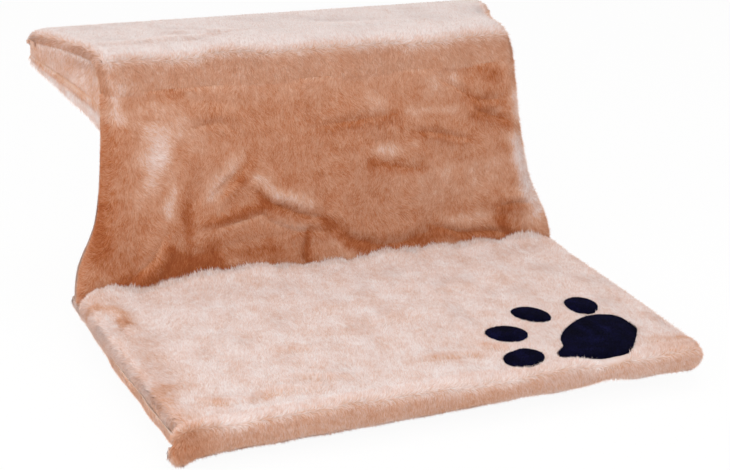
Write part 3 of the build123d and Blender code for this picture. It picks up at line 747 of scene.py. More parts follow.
BACK_STROKES = (
    Stroke(((-162, 150), (-160, 128)), 16.0, -0.30, 0.7),
    Stroke(((-160, 128), (-176, 95)), 11.0, -0.22, 0.5),
    Stroke(((-150, 165), (-120, 140)), 12.0, -0.15, 0.3),
    Stroke(((-147, 96), (-153, 76)), 6.0, -0.32, 0.4),
    Stroke(((-192, 187), (-191, 164)), 6.0, -0.34, 0.3),
    Stroke(((-114, 90), (-104, 104), (-82, 120)), 8.0, -0.22, 0.4),
    Stroke(((-70, 100), (-48, 82), (-20, 72)), 5.0, -0.30, 0.2),
    Stroke(((-118, 62), (-60, 76)), 4.0, 0.22),
    Stroke(((-72, 88), (-55, 74), (-32, 62), (-6, 54)), 4.5, 0.20),
    Stroke(((-6, 52), (10, 40), (30, 26), (60, 20), (95, 26)), 8.0, 0.26),
    Stroke(((-150, 30), (-117, 33)), 8.0, 0.16),
    Stroke(((-188, 12), (-150, 22), (-112, 25), (-94, 16)), 14.0, 0.34, -0.3),
    Stroke(((-152, 46), (-142, 30)), 8.0, 0.24),
    Stroke(((-84, 28), (-66, 36), (-48, 30)), 8.0, 0.20),
    Stroke(((-80, 8), (-20, 12)), 9.0, 0.08),
    Stroke(((-134, 84), (-135, 58)), 7.0, 0.20),
    Stroke(((-86, 100), (-78, 118)), 6.0, 0.18),
    Stroke(((-24, 44), (-24, 8)), 5.0, 0.28),
    Stroke(((-52, 57), (-30, 52)), 5.0, -0.15),
    Stroke(((-100, 27), (-80, 28)), 4.0, -0.25),
    Stroke(((-20, 60), (0, 36), (30, 12)), 6.0, -0.10),
    Stroke(((-155, 187), (-140, 184)), 10.0, 0.16),
    Stroke(((-4, 139), (29, 141), (66, 143)), 4.5, 0.14),
    Stroke(((72, 146), (76, 132)), 5.0, 0.10),
    Stroke(((85, 127), (112, 123), (146, 114)), 4.5, 0.13),
    Stroke(((120, 172), (142, 160), (160, 148), (182, 148)), 5.0, 0.15),
    Stroke(((156, 138), (182, 130), (200, 124)), 6.0, 0.17),
    Stroke(((150, 185), (176, 176)), 12.0, 0.20),
    Stroke(((197, 152), (201, 128)), 6.0, -0.35),
    Stroke(((197, 110), (202, 84), (210, 60), (216, 40)), 8.0, -0.40),
    Stroke(((42, 158), (60, 158)), 9.0, -0.16),
    Stroke(((56, 117), (64, 112)), 7.0, -0.26),
    Stroke(((86, 148), (133, 146)), 5.0, -0.20),
    Stroke(((115, 168), (132, 170)), 9.0, -0.22),
    Stroke(((45, 102), (96, 92)), 5.0, 0.18),
    Stroke(((90, 80), (170, 84)), 22.0, -0.12),
    Stroke(((105, 34), (133, 24), (168, 22)), 6.0, 0.20),
    Stroke(((120, 42), (165, 40)), 5.0, -0.18),
    Stroke(((178, 46), (208, 45)), 5.0, 0.15),
    Stroke(((178, 34), (190, 14), (222, 6)), 9.0, 0.34),
    Stroke(((60, 12), (82, 16), (100, 8)), 6.0, -0.12),
    Stroke(((-204, 130), (-208, 92), (-216, 50)), 9.0, 0.10, -0.5),
    Stroke(((-206, 80), (-214, 40)), 6.0, 0.14),
)

SHELF_FOLDS = (
    Fold(((-190, 52), (-150, 44), (-110, 46), (-70, 60)), 9.0, 1.8, 0.6),
    Fold(((-120, 78), (-90, 66), (-50, 72)), 9.0, 1.5, 0.6),
    Fold(((20, 50), (70, 58), (120, 52)), 10.0, 1.2, 0.6),
)

SHELF_STROKES = (
    Stroke(((-196, 10), (-186, 4)), 8.0, -0.16),
    Stroke(((-188, 50), (-150, 41), (-110, 43), (-72, 57)), 5.0, 0.12),
    Stroke(((-118, 75), (-90, 63), (-52, 69)), 5.0, 0.10),
    Stroke(((120, 40), (170, 44)), 7.0, 0.05),
)

SEAT_FOLDS = (
    Fold(((-229, 246), (-221, 230), (-216, 206), (-214, 160)), 6.0, 3.2, 0.9),
    Fold(((-150, 252), (-100, 249), (-50, 250)), 9.0, 4.5, 0.0),
    Fold(((30, 251), (58, 249), (84, 250)), 9.0, 4.2, 0.0),
    Fold(((120, 252), (160, 250), (200, 251)), 9.0, 2.5, 0.0),
    Fold(((-203, 29), (-190, 18), (-168, 16)), 7.0, 1.6, 0.8),
    Fold(((-164, 17), (-146, 23), (-114, 14)), 6.0, 1.5, 0.8),
    Fold(((-118, 37), (-100, 28), (-70, 25)), 6.0, 1.4, 0.8),
    Fold(((-10, 36), (15, 34), (40, 28)), 6.0, 1.3, 0.8),
    Fold(((40, 44), (56, 34), (80, 26)), 6.0, 1.2, 0.8),
    Fold(((-120, 88), (-98, 80), (-80, 82)), 8.0, 1.0, 0.6),
    Fold(((-60, 120), (-20, 112), (20, 118)), 12.0, 1.0, 0.6),
    Fold(((40, 170), (80, 160), (120, 168)), 12.0, 1.0, 0.6),
)

SEAT_STROKES = (
    Stroke(((-228, 240), (-217, 222), (-211, 206)), 4.0, 0.30, 0.6),
    Stroke(((-214, 196), (-211, 186)), 3.5, 0.40, 0.4),
    Stroke(((-214, 180), (-214, 120), (-218, 60)), 14.0, 0.10, 0.9),
    Stroke(((-218, 60), (-220, 30), (-219, 8)), 8.0, 0.22, 0.6),
    Stroke(((-200, 28), (-186, 14)), 5.0, 0.16),
    Stroke(((-164, 16), (-146, 20), (-112, 12)), 5.0, 0.16),
    Stroke(((-116, 86), (-98, 80)), 6.0, 0.12),
    Stroke(((-118, 36), (-100, 26), (-80, 24)), 5.0, 0.14),
    Stroke(((-8, 33), (12, 33), (34, 29)), 5.0, 0.18),
    Stroke(((47, 42), (60, 33)), 5.0, 0.18),
    Stroke(((-60, 112), (-20, 106), (20, 112)), 10.0, 0.06),
    Stroke(((30, 60), (90, 66), (140, 90)), 12.0, 0.04),
    Stroke(((-10, 12), (60, 8), (150, 6)), 8.0, -0.05),
    Stroke(((-180, 6), (-120, 3), (-60, 2)), 10.0, -0.08),
    Stroke(((198, 8), (222, 6)), 7.0, 0.22),
    Stroke(((150, 150), (110, 170), (60, 160)), 9.0, 0.06),
    Stroke(((-120, 150), (-60, 160), (0, 150)), 8.0, 0.05),
    Stroke(((-180, 200), (-120, 190)), 9.0, -0.06),
)


@dataclass(frozen=True)
class PileGrowth:
    """How the pile grows on a cloth: fibres in all, and each one's length and width in millimetres."""

    fibres: int
    length_mm: float = 6.0
    width_mm: float = 0.8
    lean: float = 0.16
    spread: float = 0.40
    seed: int = 11


class PileMaker:
    """Grows plush fibres on a cloth with one Geometry Nodes tree."""

    def __init__(self) -> None:
        """Builds the tree once."""
        self.tree = self.build_tree()

    def build_tree(self) -> bpy.types.NodeTree:
        """Tree that scatters fibres on faces, lays them along the nap and makes them a mesh."""
        tree = bpy.data.node_groups.new("PileFibres", "GeometryNodeTree")
        tree.interface.new_socket("Geometry", in_out="INPUT", socket_type="NodeSocketGeometry")
        named = (("Density", "Float"), ("Length", "Float"), ("Width", "Float"), ("Lean", "Float"),
                 ("Spread", "Float"), ("Seed", "Int"), ("Material", "Material"))
        for name, kind in named:
            tree.interface.new_socket(name, in_out="INPUT", socket_type="NodeSocket" + kind)
        tree.interface.new_socket("Geometry", in_out="OUTPUT", socket_type="NodeSocketGeometry")

        def read(name: str, kind: str = "FLOAT") -> bpy.types.NodeSocket:
            """A field that the cloth carries."""
            node = add_node(tree, "GeometryNodeInputNamedAttribute", {"data_type": kind}, {"Name": name})
            return node.outputs["Attribute"]

        def number(operation: str, one: bpy.types.NodeSocket,
                   two: bpy.types.NodeSocket) -> bpy.types.NodeSocket:
            """Two numbers worked together."""
            return add_node(tree, "ShaderNodeMath", {"operation": operation},
                            links={0: one, 1: two}).outputs[0]

        def vector(operation: str, one: bpy.types.NodeSocket, two: bpy.types.NodeSocket,
                   second: int | str = 1) -> bpy.types.NodeSocket:
            """Two vectors worked together, or a vector and its scale."""
            return add_node(tree, "ShaderNodeVectorMath", {"operation": operation},
                            links={0: one, second: two}).outputs[0]

        def chance(low: float, high: float, seed: int) -> bpy.types.NodeSocket:
            """A random number for each fibre."""
            return add_node(tree, "FunctionNodeRandomValue", {"data_type": "FLOAT"},
                            {2: low, 3: high, "Seed": seed}).outputs[1]

        def store(geometry: bpy.types.NodeSocket, name: str, value: bpy.types.NodeSocket,
                  kind: str = "FLOAT") -> bpy.types.NodeSocket:
            """Keeps a field on the geometry's points."""
            return add_node(tree, "GeometryNodeStoreNamedAttribute", {"data_type": kind, "domain": "POINT"},
                            {"Name": name}, {"Geometry": geometry, "Value": value}).outputs[0]

        start = add_node(tree, "NodeGroupInput").outputs
        dense = number("MULTIPLY", read("pile"), start["Density"])
        roots = add_node(tree, "GeometryNodeDistributePointsOnFaces", {"distribute_method": "RANDOM"},
                         links={"Mesh": start["Geometry"], "Density": dense, "Seed": start["Seed"]}).outputs
        jitter = add_node(tree, "FunctionNodeRandomValue", {"data_type": "FLOAT_VECTOR"},
                          {0: (-1.0, -1.0, -1.0), 1: (1.0, 1.0, 1.0)}, {"Seed": start["Seed"]}).outputs[0]
        steepness = number("MULTIPLY", chance(0.3, 1.0, 9), number("ADD", read("rise"), start["Lean"]))
        rise = vector("SCALE", roots["Normal"], steepness, "Scale")
        sideways = vector("SUBTRACT", jitter, vector("PROJECT", jitter, roots["Normal"]))
        stray = vector("SCALE", sideways, start["Spread"], "Scale")
        laid = vector("ADD", vector("ADD", rise, stray), read("nap", "FLOAT_VECTOR"))
        along = add_node(tree, "FunctionNodeAlignRotationToVector", {"axis": "X"}, links={"Vector": laid})
        facing = add_node(tree, "FunctionNodeAlignRotationToVector", {"axis": "Z", "pivot_axis": "X"},
                          links={"Rotation": along.outputs[0], "Vector": roots["Normal"]})
        usual = number("MULTIPLY", chance(0.6, 1.15, 3), start["Length"])
        size = add_node(tree, "ShaderNodeCombineXYZ", values={"Z": 1.0},
                        links={"X": number("MULTIPLY", usual, read("reach")), "Y": start["Width"]})
        ring = add_node(tree, "GeometryNodeMeshCircle", {"fill_type": "NGON"}, {"Vertices": 3, "Radius": 1.0})
        blade = add_node(tree, "GeometryNodeTransform",
                         values={"Translation": (1 / 3, 0.0, 0.0), "Scale": (2 / 3, 1 / math.sqrt(3), 1.0)},
                         links={"Geometry": ring.outputs["Mesh"]})
        spot = add_node(tree, "GeometryNodeInputPosition")
        parts = add_node(tree, "ShaderNodeSeparateXYZ", links={"Vector": spot.outputs[0]})
        tipped = store(blade.outputs["Geometry"], "tip", parts.outputs["X"])
        tilt = add_node(tree, "ShaderNodeVectorMath", {"operation": "SCALE"}, {"Scale": 0.30}, {0: jitter})
        lit = vector("ADD", tilt.outputs[0], read("lit", "FLOAT_VECTOR"))
        rooted = store(roots["Points"], "root_normal", vector("ADD", lit, roots["Normal"]), "FLOAT_VECTOR")
        shaded = store(rooted, "shade", chance(-1.0, 1.0, 5))
        grown = add_node(tree, "GeometryNodeInstanceOnPoints",
                         links={"Points": shaded, "Instance": tipped,
                                "Rotation": facing.outputs[0], "Scale": size.outputs[0]})
        real = add_node(tree, "GeometryNodeRealizeInstances", links={"Geometry": grown.outputs[0]})
        dressed = add_node(tree, "GeometryNodeSetMaterial",
                           links={"Geometry": real.outputs[0], "Material": start["Material"]})
        add_node(tree, "NodeGroupOutput", links={"Geometry": dressed.outputs[0]})
        return tree

    def grow(self, name: str, cloth: Cloth, growth: PileGrowth, material: bpy.types.Material,
             mask: Optional[Array] = None) -> bpy.types.Object:
        """Grows the pile of one cloth as a piece of its own.

        Args:
            name: Name of the piece.
            cloth: The cloth that it grows on.
            growth: Count and size of the fibres.
            material: The pile's finish.
            mask: Where on the grid it grows, from 0 to 1.

        Returns:
            The pile as a plain mesh object.
        """
        whole = cloth.pile
        cloth.pile = whole if mask is None else whole * mask
        bed = link(name + "_bed", cloth.mesh(name + "_bed"))
        area = self.grown_area(cloth)
        cloth.pile = whole
        modifier = bed.modifiers.new("Pile", "NODES")
        modifier.node_group = self.tree
        count = growth.fibres
        width = growth.width_mm * 1.0
        wanted = {"Density": count / area, "Length": growth.length_mm * MM, "Width": width * MM,
                  "Lean": growth.lean, "Spread": growth.spread, "Seed": growth.seed, "Material": material}
        for item in self.tree.interface.items_tree:
            if item.in_out == "INPUT" and item.name in wanted:
                modifier[item.identifier] = wanted[item.name]
        graph = bpy.context.evaluated_depsgraph_get()
        mesh = bpy.data.meshes.new_from_object(bed.evaluated_get(graph), depsgraph=graph)
        bpy.data.objects.remove(bed)
        self.finish_mesh(mesh)
        made = link(name, mesh)
        LOG.info("%s: %d fibres", name, len(mesh.polygons))
        return made

    def grown_area(self, cloth: Cloth) -> float:
        """Area of a cloth weighted with its pile, in square metres."""
        points = cloth.points
        rows = points[1:, :-1] - points[:-1, :-1]
        columns = points[:-1, 1:] - points[:-1, :-1]
        areas = np.linalg.norm(np.cross(rows, columns), axis=2)
        return max(float((areas * cloth.pile[:-1, :-1]).sum()), 1e-6)

    def finish_mesh(self, mesh: bpy.types.Mesh) -> None:
        """Gives the fibres the cloth's own shading and a place of their own on the bake map."""
        count = len(mesh.vertices)
        shares = np.zeros(count * 3, np.float32)
        mesh.attributes["root_share"].data.foreach_get("vector", shares)
        tips = np.zeros(count, np.float32)
        mesh.attributes["tip"].data.foreach_get("value", tips)
        normals = np.zeros(count * 3, np.float32)
        mesh.attributes["root_normal"].data.foreach_get("vector", normals)
        shares = shares.reshape(-1, 3)[:, :2]
        shares = np.clip(shares + np.stack([tips * 0.0016, (np.arange(count) % 3) * 0.0006], axis=1), 0, 1)
        corners = np.zeros(len(mesh.loops), np.int32)
        mesh.loops.foreach_get("vertex_index", corners)
        for layer in list(mesh.uv_layers):
            mesh.uv_layers.remove(layer)
        layer = mesh.uv_layers.new(name="OFBake")
        layer.data.foreach_set("uv", shares[corners].astype(np.float32).ravel())
        normals = normals.reshape(-1, 3)
        normals /= np.maximum(np.linalg.norm(normals, axis=1, keepdims=True), 1e-9)
        smooth_faces(mesh)
        mesh.normals_split_custom_set_from_vertices(normals.tolist())
        for key in ("root_normal", "root_share", "nap", "lit", "pile", "rise", "reach"):
            if key in mesh.attributes:
                mesh.attributes.remove(mesh.attributes[key])


@dataclass
class Cover:
    """The sewn cover: plush panels with their pile, and the lining behind and below."""

    form: BedForm = field(default_factory=lambda: FORM)
    seat_crown: float = 0.005
    back_crown: float = 0.005
    corner_droop: float = 0.004
    web_clear: float = -0.0012
    lining_round: float = 0.0060
    shelf_ease: float = 0.0018
    left_slack: float = 0.0030
    right_slack: float = 0.0020
    corner_depth: float = 0.95
    plush_wall: float = 0.0025
    lining_wall: float = 0.0015
    shelf_crown: float = 0.0010
    seat_wave: float = 0.0008
    back_wave: float = 0.0010
    shelf_wave: float = 0.0009
    tuft_height: float = 0.0024
    slack_width: float = 0.034
    slack_edge: float = 0.004
    seat_bulge: float = 0.0055
    tray_bulge: float = 0.0050
    tray_bulge_more: float = 0.0026
    crease_reach_left: float = 0.0050
    crease_reach_right: float = 0.0018
    crease_reach_width: float = 0.030

    def __post_init__(self) -> None:
        """Makes the finishes and the pile maker."""
        self.plush = PALE_PLUSH.material()
        self.navy = NAVY_PLUSH.material()
        self.lining = LINING.material()
        self.maker = PileMaker()
        self.paws = paw_print(self.form)

    def seat_height(self, x: Array, y: Array) -> Array:
        """Height of the seat's cloth over its mid-plane; y runs back from the front bar."""
        form = self.form
        share = np.clip(1 - y / form.seat_depth, 0, 1)
        half = form.crease_width / 2
        crown = self.seat_crown * (0.15 + 0.85 * np.sin(np.pi * share)) * (1 - np.clip(x / half, -1, 1) ** 2)
        uneven = 1 + 0.45 * ripple(x, x * 0, 0.045, 80)
        near = form.crease_fill * (1 - smoothstep(share, 0.04, 0.20)) * uneven
        tufts = np.maximum(0, ripple(x, x * 0, 0.06, 81))
        near = near + self.tuft_height * (1 - smoothstep(share, 0.04, 0.12)) * tufts
        low = self.seat_wave * ripple(x, y, 0.09, 21)
        inside = 1 - smoothstep(np.abs(x), half - 0.02, half - 0.004)
        folds = sum(fold.lift(x, y) for fold in SEAT_FOLDS)
        return form.height + crown + near + (low + folds) * inside

    def seat_grid(self) -> Cloth:
        """Plush top of the seat, from its turned-down edge in the crease to the front bar."""
        form = self.form
        flat = 150
        top = form.height + form.crease_fill
        edge = [(0.25, 0.0), (0.55, 0.0), (0.80, 0.0006), (0.93, 0.0016), (1.0, 0.0040)]
        rows = [(form.seat_depth - form.mitre * top * k - shift, k) for k, shift in edge]
        rest = np.linspace(rows[-1][0] - 0.003, 0.0, 96)
        rows += [(float(y), 1.0) for y in rest]
        sections = []
        for y, scale in rows:
            half = form.seat_half(1 - y / form.seat_depth)
            u, v, turned = form.section(half, 1.0, flat)
            height = self.seat_height(u, np.full_like(u, y)) * scale
            slack = -self.front_droop(u) * (1 - smoothstep(np.array(y), 0.0, 0.035))
            across = u - self.left_bulge(u, np.full_like(u, y), self.seat_bulge)
            level = form.seat_z + slack + v * height
            points = np.stack([across, np.full_like(u, form.front_y + y), level], axis=1)
            sections.append((points, u, np.full_like(u, y), turned))
        cloth, side = cloth_of_rows(sections, (0.0, 0.0, 1.0))
        x, y = cloth.x, cloth.y
        # The seat's low tint, the pale end, is painted light of a face that looks up; its side walls are
        # painted darker tan and the strip by the crease a little darker: painted shade.
        base = 0.17 + 0.18 * side + 0.05 * smoothstep(y, 0.18, 0.27)
        base = base + 0.10 * (1 - smoothstep(y, 0.0, 0.012)) * smoothstep(x, 0.15, 0.22)
        cloth.paint(base, SEAT_STROKES, 0.045, 31)
        cloth.brush(Nap.BACK, 0.35, 41, SEAT_STROKES, Nap.DOWN, smoothstep(side, 0.05, 0.4))
        cloth.pile = np.ones_like(x) * (1 - self.under_paws(x, y))
        cloth.pile[:len(edge) - 1] = 0.0
        cloth.light((0.0, -0.3, 0.6), smoothstep(side, 0.02, 0.3), (0.0, -0.9, 0.7))
        half = form.crease_width / 2
        fringe = smoothstep(y, form.seat_depth - 0.020, form.seat_depth - 0.011)
        fringe = fringe * (1 - smoothstep(np.abs(x), half - 0.020, half - 0.010))
        stand, stand_wave, extra, extra_wave = 3.0, 1.6, 0.5, 0.6
        cloth.rise = self.rim_rise(side) + (stand + stand_wave * ripple(x, y * 0, 0.02, 77)) * fringe
        cloth.reach = 1 + (extra + extra_wave * ripple(x, y * 0, 0.03, 78)) * fringe
        return cloth

    def left_bulge(self, x: Array, y: Array, most: float | Array, start: float = -0.005) -> Array:
        """How far the slack left side stands out, in metres.

        Args:
            x: Place across.
            y: Distance back from the front bar.
            most: Its greatest reach.
            start: Where it starts, at the front.

        Returns:
            The reach at each point.
        """
        ends = smoothstep(y, start, start + 0.035)
        wave = 1 + 0.08 * ripple(y, y * 0, 0.07, 79)
        half = self.form.crease_width / 2
        return most * ends * wave * smoothstep(-x, half - self.slack_width, half - self.slack_edge)

    def front_droop(self, x: Array) -> Array:
        """How far the slack left corner hangs at a place across."""
        half = self.form.front_width / 2
        return self.corner_droop * smoothstep(-x, half - self.slack_width, half)

    def under_paws(self, x: Array, y: Array) -> Array:
        """1 where a paw pad covers the seat, else 0."""
        covered = np.zeros(x.shape)
        for paw in self.paws:
            for ahead in (0.0, 0.003, 0.006):
                covered = np.maximum(covered, paw.inside(x, y + ahead, 0.97))
        return covered

    def back_grid(self) -> Cloth:
        """Plush front of the back, from the crease to the start of the top bend."""
        form = self.form
        flat = 190
        top = form.height + form.crease_fill
        rows = [(form.mitre * top * k + shift, k) for k, shift in ((0.4, 0.0), (0.75, 0.0006), (1.0, 0.003))]
        rows += [(float(a), 1.0) for a in np.linspace(rows[-1][0] + 0.0025, form.back_length, 84)]
        sections = []
        for along, scale in rows:
            share = along / form.back_length
            half = form.back_half(share)
            u, v, turned = form.section(half, 1.0, flat)
            a = np.full_like(u, along)
            fullness = 0.2 + 0.8 * math.sin(math.pi * min(share, 1.0))
            crown = self.back_crown * fullness * (1 - (u / half) ** 2)
            near = form.crease_fill * (1 - smoothstep(a, 0.008, 0.034))
            inside = 1 - smoothstep(np.abs(u), half - 0.022, half - 0.006)
            open_end = 1 - smoothstep(a, form.back_length - 0.012, form.back_length)
            folds = sum(fold.lift(u, a) for fold in BACK_FOLDS) + self.back_wave * ripple(u, a, 0.06, 23)
            height = (form.height + crown + near + folds * inside * open_end) * scale
            origin, normal = form.station(along)
            points = origin + np.outer(u, [1, 0, 0]) + np.outer(v * height, normal)
            sections.append((points, u, a, turned))
        cloth, side = cloth_of_rows(sections, (0.0, -1.0, 0.2))
        x, y = cloth.x, cloth.y
        cloth.points[..., 0] += self.crease_bulge(x, y)
        left = 1 - smoothstep(x, -0.205, -0.165)
        # The back's base tint of 0.70, near the burnt-orange end where the seat's is near the pale end, is
        # painted shade of an upright face; it grows paler towards the top bend.
        base = 0.70 - 0.10 * smoothstep(y, 0.160, form.back_length) - 0.06 * side
        base = base + 0.05 * left - 0.10 * smoothstep(x, 0.185, 0.205)
        cloth.paint(base, BACK_STROKES, 0.035, 33)
        outward = np.stack([np.sign(x), np.full_like(x, 0.8), np.full_like(x, -0.5)], axis=2)
        cloth.brush(Nap.DOWN, 0.5, 43, BACK_STROKES, outward, smoothstep(side, 0.01, 0.25))
        cloth.rise = self.rim_rise(side)
        return cloth

    def crease_bulge(self, x: Array, along: Array) -> Array:
        """How far the back's sides stand out over the ends of the crease bar.

        Args:
            x: Place across.
            along: Distance up from the crease.

        Returns:
            The shift across, in metres: most on the slack left side.
        """
        half = self.form.crease_width / 2
        low = 1 - smoothstep(along, 0.030, 0.080)
        start, end = half - self.crease_reach_width, half - self.slack_edge
        left = self.crease_reach_left * smoothstep(-x, start, end)
        right = self.crease_reach_right * smoothstep(x, start, end)
        return (right - left) * low

    def rim_rise(self, side: Array) -> Array:
        """How far the pile stands up on a rounded rim: most half way round, flat at the seam."""
        return 0.45 * np.exp(-((side - 0.32) / 0.20) ** 2) - 0.06 * smoothstep(side, 0.55, 0.85)

    def shelf_sink(self, x: Array, share: float) -> Array:
        """How far the shelf's cloth lies lower than at the top bend, most at the slack rear corners.

        Args:
            x: Place across.
            share: Place from the bend, 0, to the rear bar, 1.

        Returns:
            The sink at each point, in metres.
        """
        even = self.shelf_ease * float(smoothstep(np.array(share), 0.0, 0.5))
        rear = float(smoothstep(np.array(share), 0.25, 1.0))
        start, end = 0.216, 0.237
        left = smoothstep(-x, start, end)
        right = smoothstep(x, start, end)
        return even + rear * (self.left_slack * left + self.right_slack * right)

    def shelf_grid(self) -> Cloth:
        """Plush over the top bend and along the shelf to the rear bar."""
        form = self.form
        bend = np.linspace(0, form.bend_length, 16)[1:]
        rows = np.concatenate([[0.0], bend, form.bend_length + np.linspace(0, form.shelf_length, 34)[1:]])
        sections = []
        for over in rows:
            share = max(0.0, (over - form.bend_length) / form.shelf_length)
            half = form.shelf_half(share)
            u, v, turned = form.section(half, 1.0, 120)
            a = np.full_like(u, over)
            close = 1 - float(smoothstep(np.array(share), 0.86, 1.0))
            crown = self.shelf_crown * close * (1 - (u / half) ** 2) - self.shelf_sink(u, share)
            wave = self.shelf_wave * ripple(u, a, 0.07, 25) + sum(fold.lift(u, a) for fold in SHELF_FOLDS)
            wave = wave * close * (1 - smoothstep(np.abs(u), half - 0.02, half - 0.004))
            origin, normal = form.station(form.back_length + over)
            height = form.height + crown + wave
            points = origin + np.outer(u, [1, 0, 0]) + np.outer(v * height, normal)
            sections.append((points, u, a, turned))
        cloth, side = cloth_of_rows(sections, (0.0, -0.2, 1.0))
        x, y = cloth.x, cloth.y
        step = 0.0195 + 0.0016 * ripple(x, y * 0, 0.09, 27)
        turned_up = smoothstep(y, step - 0.006, step + 0.007)
        # Pale once the cloth has turned up over the bend, tan on the bend's forward face and darker on the
        # side walls: painted light and shade of faces that look up, forward and sideways, as the nap also
        # turns over at the step.
        base = 0.58 - 0.53 * turned_up + (0.14 + 0.26 * turned_up) * smoothstep(side, 0.03, 0.3)
        cloth.paint(base, SHELF_STROKES, 0.02, 35)
        cloth.brush(Nap.DOWN, 0.4, 45, (), Nap.OVER, turned_up * (1 - smoothstep(side, 0.05, 0.4)))
        cloth.rise = self.rim_rise(side)
        cloth.light((0.0, -0.12, 0.6), smoothstep(side, 0.02, 0.3), (0.0, -0.7, 0.6))
        return cloth

    def front_grid(self) -> Cloth:
        """Plush roll round the front bar; its slack left corner hangs in a point."""
        form = self.form
        half = form.front_width / 2 - form.base_inset
        cap = 0.010
        turn = np.linspace(0, 1, 8) * math.pi / 2
        reach, draw = 0.004, 0.25
        hang_start, hang_width, hang_power = 0.024, 0.025, 1.2
        sag_even, sag_left, sag_wave = 0.16, 0.30, 0.05
        left = -half - reach
        x = np.concatenate([left + cap * (1 - np.cos(turn))[:-1], np.linspace(left + cap, half - cap, 130),
                            half - cap + cap * np.sin(turn)[1:]])
        ends = np.clip(np.maximum(np.abs(x + reach / 2) - (half + reach / 2 - cap), 0) / cap, 0, 1)
        ends = np.sqrt(1 - ends ** 2)
        hang = np.clip((-x - half + hang_start) / hang_width, 0, 1) ** hang_power
        points = []
        wrap = math.radians(232)
        angles = np.linspace(0.0, wrap, 38)
        sag = sag_even + sag_left * smoothstep(-x, -0.12, 0.16) + sag_wave * ripple(x, x * 0, 0.06, 30)
        crest = self.seat_height(x, np.zeros_like(x))
        for angle in angles:
            near = 1 - smoothstep(np.array(angle), 0.0, 1.3)
            uneven = 1 + 0.04 * (1 - near) * ripple(x, x * 0, 0.05, 29)
            radius = (form.height + (crest - form.height) * near) * uneven
            radius = radius * np.maximum(ends, 0.3 if angle < 0.2 else 0.5 * (x < 0))
            low = max(0.0, -math.cos(angle))
            deeper = 1 + np.maximum(self.corner_depth * hang, sag) * low
            z = form.seat_z + radius * math.cos(angle) * deeper - self.front_droop(x)
            y = form.front_y - radius * math.sin(angle) * (1 - draw * hang * low)
            points.append(np.stack([x - reach * hang - reach * hang * low, y, z], axis=1))
        grid_x = np.broadcast_to(x, (len(angles), len(x)))
        turn = np.broadcast_to(angles[:, None], grid_x.shape)
        cloth = Cloth(np.array(points), np.array([0.0, -1.0, 0.0]), grid_x, turn * form.height)
        # The roll's lower band, facing forward and down, is painted darker tan: painted shade, where the nap
        # also lies down.
        line = math.radians(50) + 0.14 * ripple(grid_x, grid_x * 0, 0.05, 37)
        line = line - 0.55 * smoothstep(-grid_x, half - 0.045, half)
        lower = smoothstep(turn, line - 0.20, line + 0.20)
        shade = 0.20 + 0.11 * smoothstep(-grid_x, -0.10, 0.20)
        patch = 0.10 * np.exp(-((grid_x - 0.02) / 0.035) ** 2) * smoothstep(turn, 0.9, 1.4)
        base = 0.17 + shade * lower + patch
        slack = smoothstep(-grid_x, half - 0.030, half - 0.004)
        base = base + 0.16 * smoothstep(grid_x, 0.165, 0.200) * (1 - lower)
        base = base - 0.10 * smoothstep(turn, 2.0, 2.7) + 0.20 * slack * (1 - smoothstep(turn, 2.2, 2.9))
        cloth.paint(base, (), 0.03, 39)
        cloth.brush(Nap.BACK, 0.3, 47, (), Nap.DOWN, lower)
        cloth.rise = 0.30 * lower + 0.3 * hang
        cloth.pile = 1 - self.under_paws(grid_x, cloth.points[..., 1] - form.front_y)
        cloth.light((0.0, -0.3, 0.18))
        return cloth

    def rear_grid(self) -> tuple[Cloth, Array]:
        """Plush roll round the rear bar and the hem below it, with the quads cut out at the hooks."""
        form = self.form
        half = form.rear_width / 2 - form.base_inset
        hook_low, hook_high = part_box("left_hook")
        clear, strip, cap = 0.001, 0.0025, 0.008
        front, back = hook_low.y - clear, hook_low.y + strip + clear
        slot = (hook_high.x - hook_low.x) / 2 + clear
        rail = form.rail_spacing / 2
        edge = half - cap
        inner = np.concatenate([np.linspace(-edge, -(rail + slot), 8),
                                np.linspace(-(rail - slot), rail - slot, 90),
                                np.linspace(rail + slot, edge, 8)])
        past = cap * np.sin(np.linspace(0, 1, 6) * math.pi / 2)[1:]
        x = np.concatenate([-edge - past[::-1], inner, edge + past])
        ends = np.sqrt(np.clip(1 - ((np.abs(x) - edge) / cap).clip(0, 1) ** 2, 0, 1))
        radius = form.height * ends
        points, ys = [], []
        angles = np.linspace(0, math.pi, 20)
        for angle in angles:
            low = form.cover_half / form.height if angle > math.pi / 2 else 1.0
            deep = 1 + (low - 1) * math.sin(max(0.0, angle - math.pi / 2))
            y = form.rear_y + radius * math.sin(angle)
            sink = self.shelf_sink(x, 1.0) * max(0.0, math.cos(angle))
            points.append(np.stack([x, y, form.shelf_z + radius * math.cos(angle) * deep - sink], axis=1))
            ys.append(np.full_like(x, angle * form.height))
        flange_ys = (back + 0.002, back, front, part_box("shelf_under_panel")[1].y + 0.0003)
        for y in flange_ys:
            z = form.shelf_z - form.cover_half * ends
            points.append(np.stack([x, np.full_like(x, y), z], axis=1))
            ys.append(np.full_like(x, math.pi * form.height + form.rear_y - y))
        grid_x = np.broadcast_to(x, (len(points), len(x)))
        cloth = Cloth(np.array(points), np.array([0.0, 1.0, 0.0]), grid_x, np.array(ys))
        keep = np.ones((len(points) - 1, len(x) - 1), bool)
        middle = (x[1:] + x[:-1]) / 2
        keep[len(angles) + 1, np.abs(np.abs(middle) - rail) < slot] = False
        row = np.arange(len(points))[:, None] * np.ones_like(grid_x)
        base = 0.22 + 0.22 * smoothstep(cloth.y, 0.004, 0.016)
        cloth.paint(base, (), 0.03, 49)
        cloth.brush(Nap.REARWARD, 0.4, 51)
        cloth.pile = 1.0 - smoothstep(row, len(angles) - 4.0, len(angles) - 1.0)
        return cloth, keep

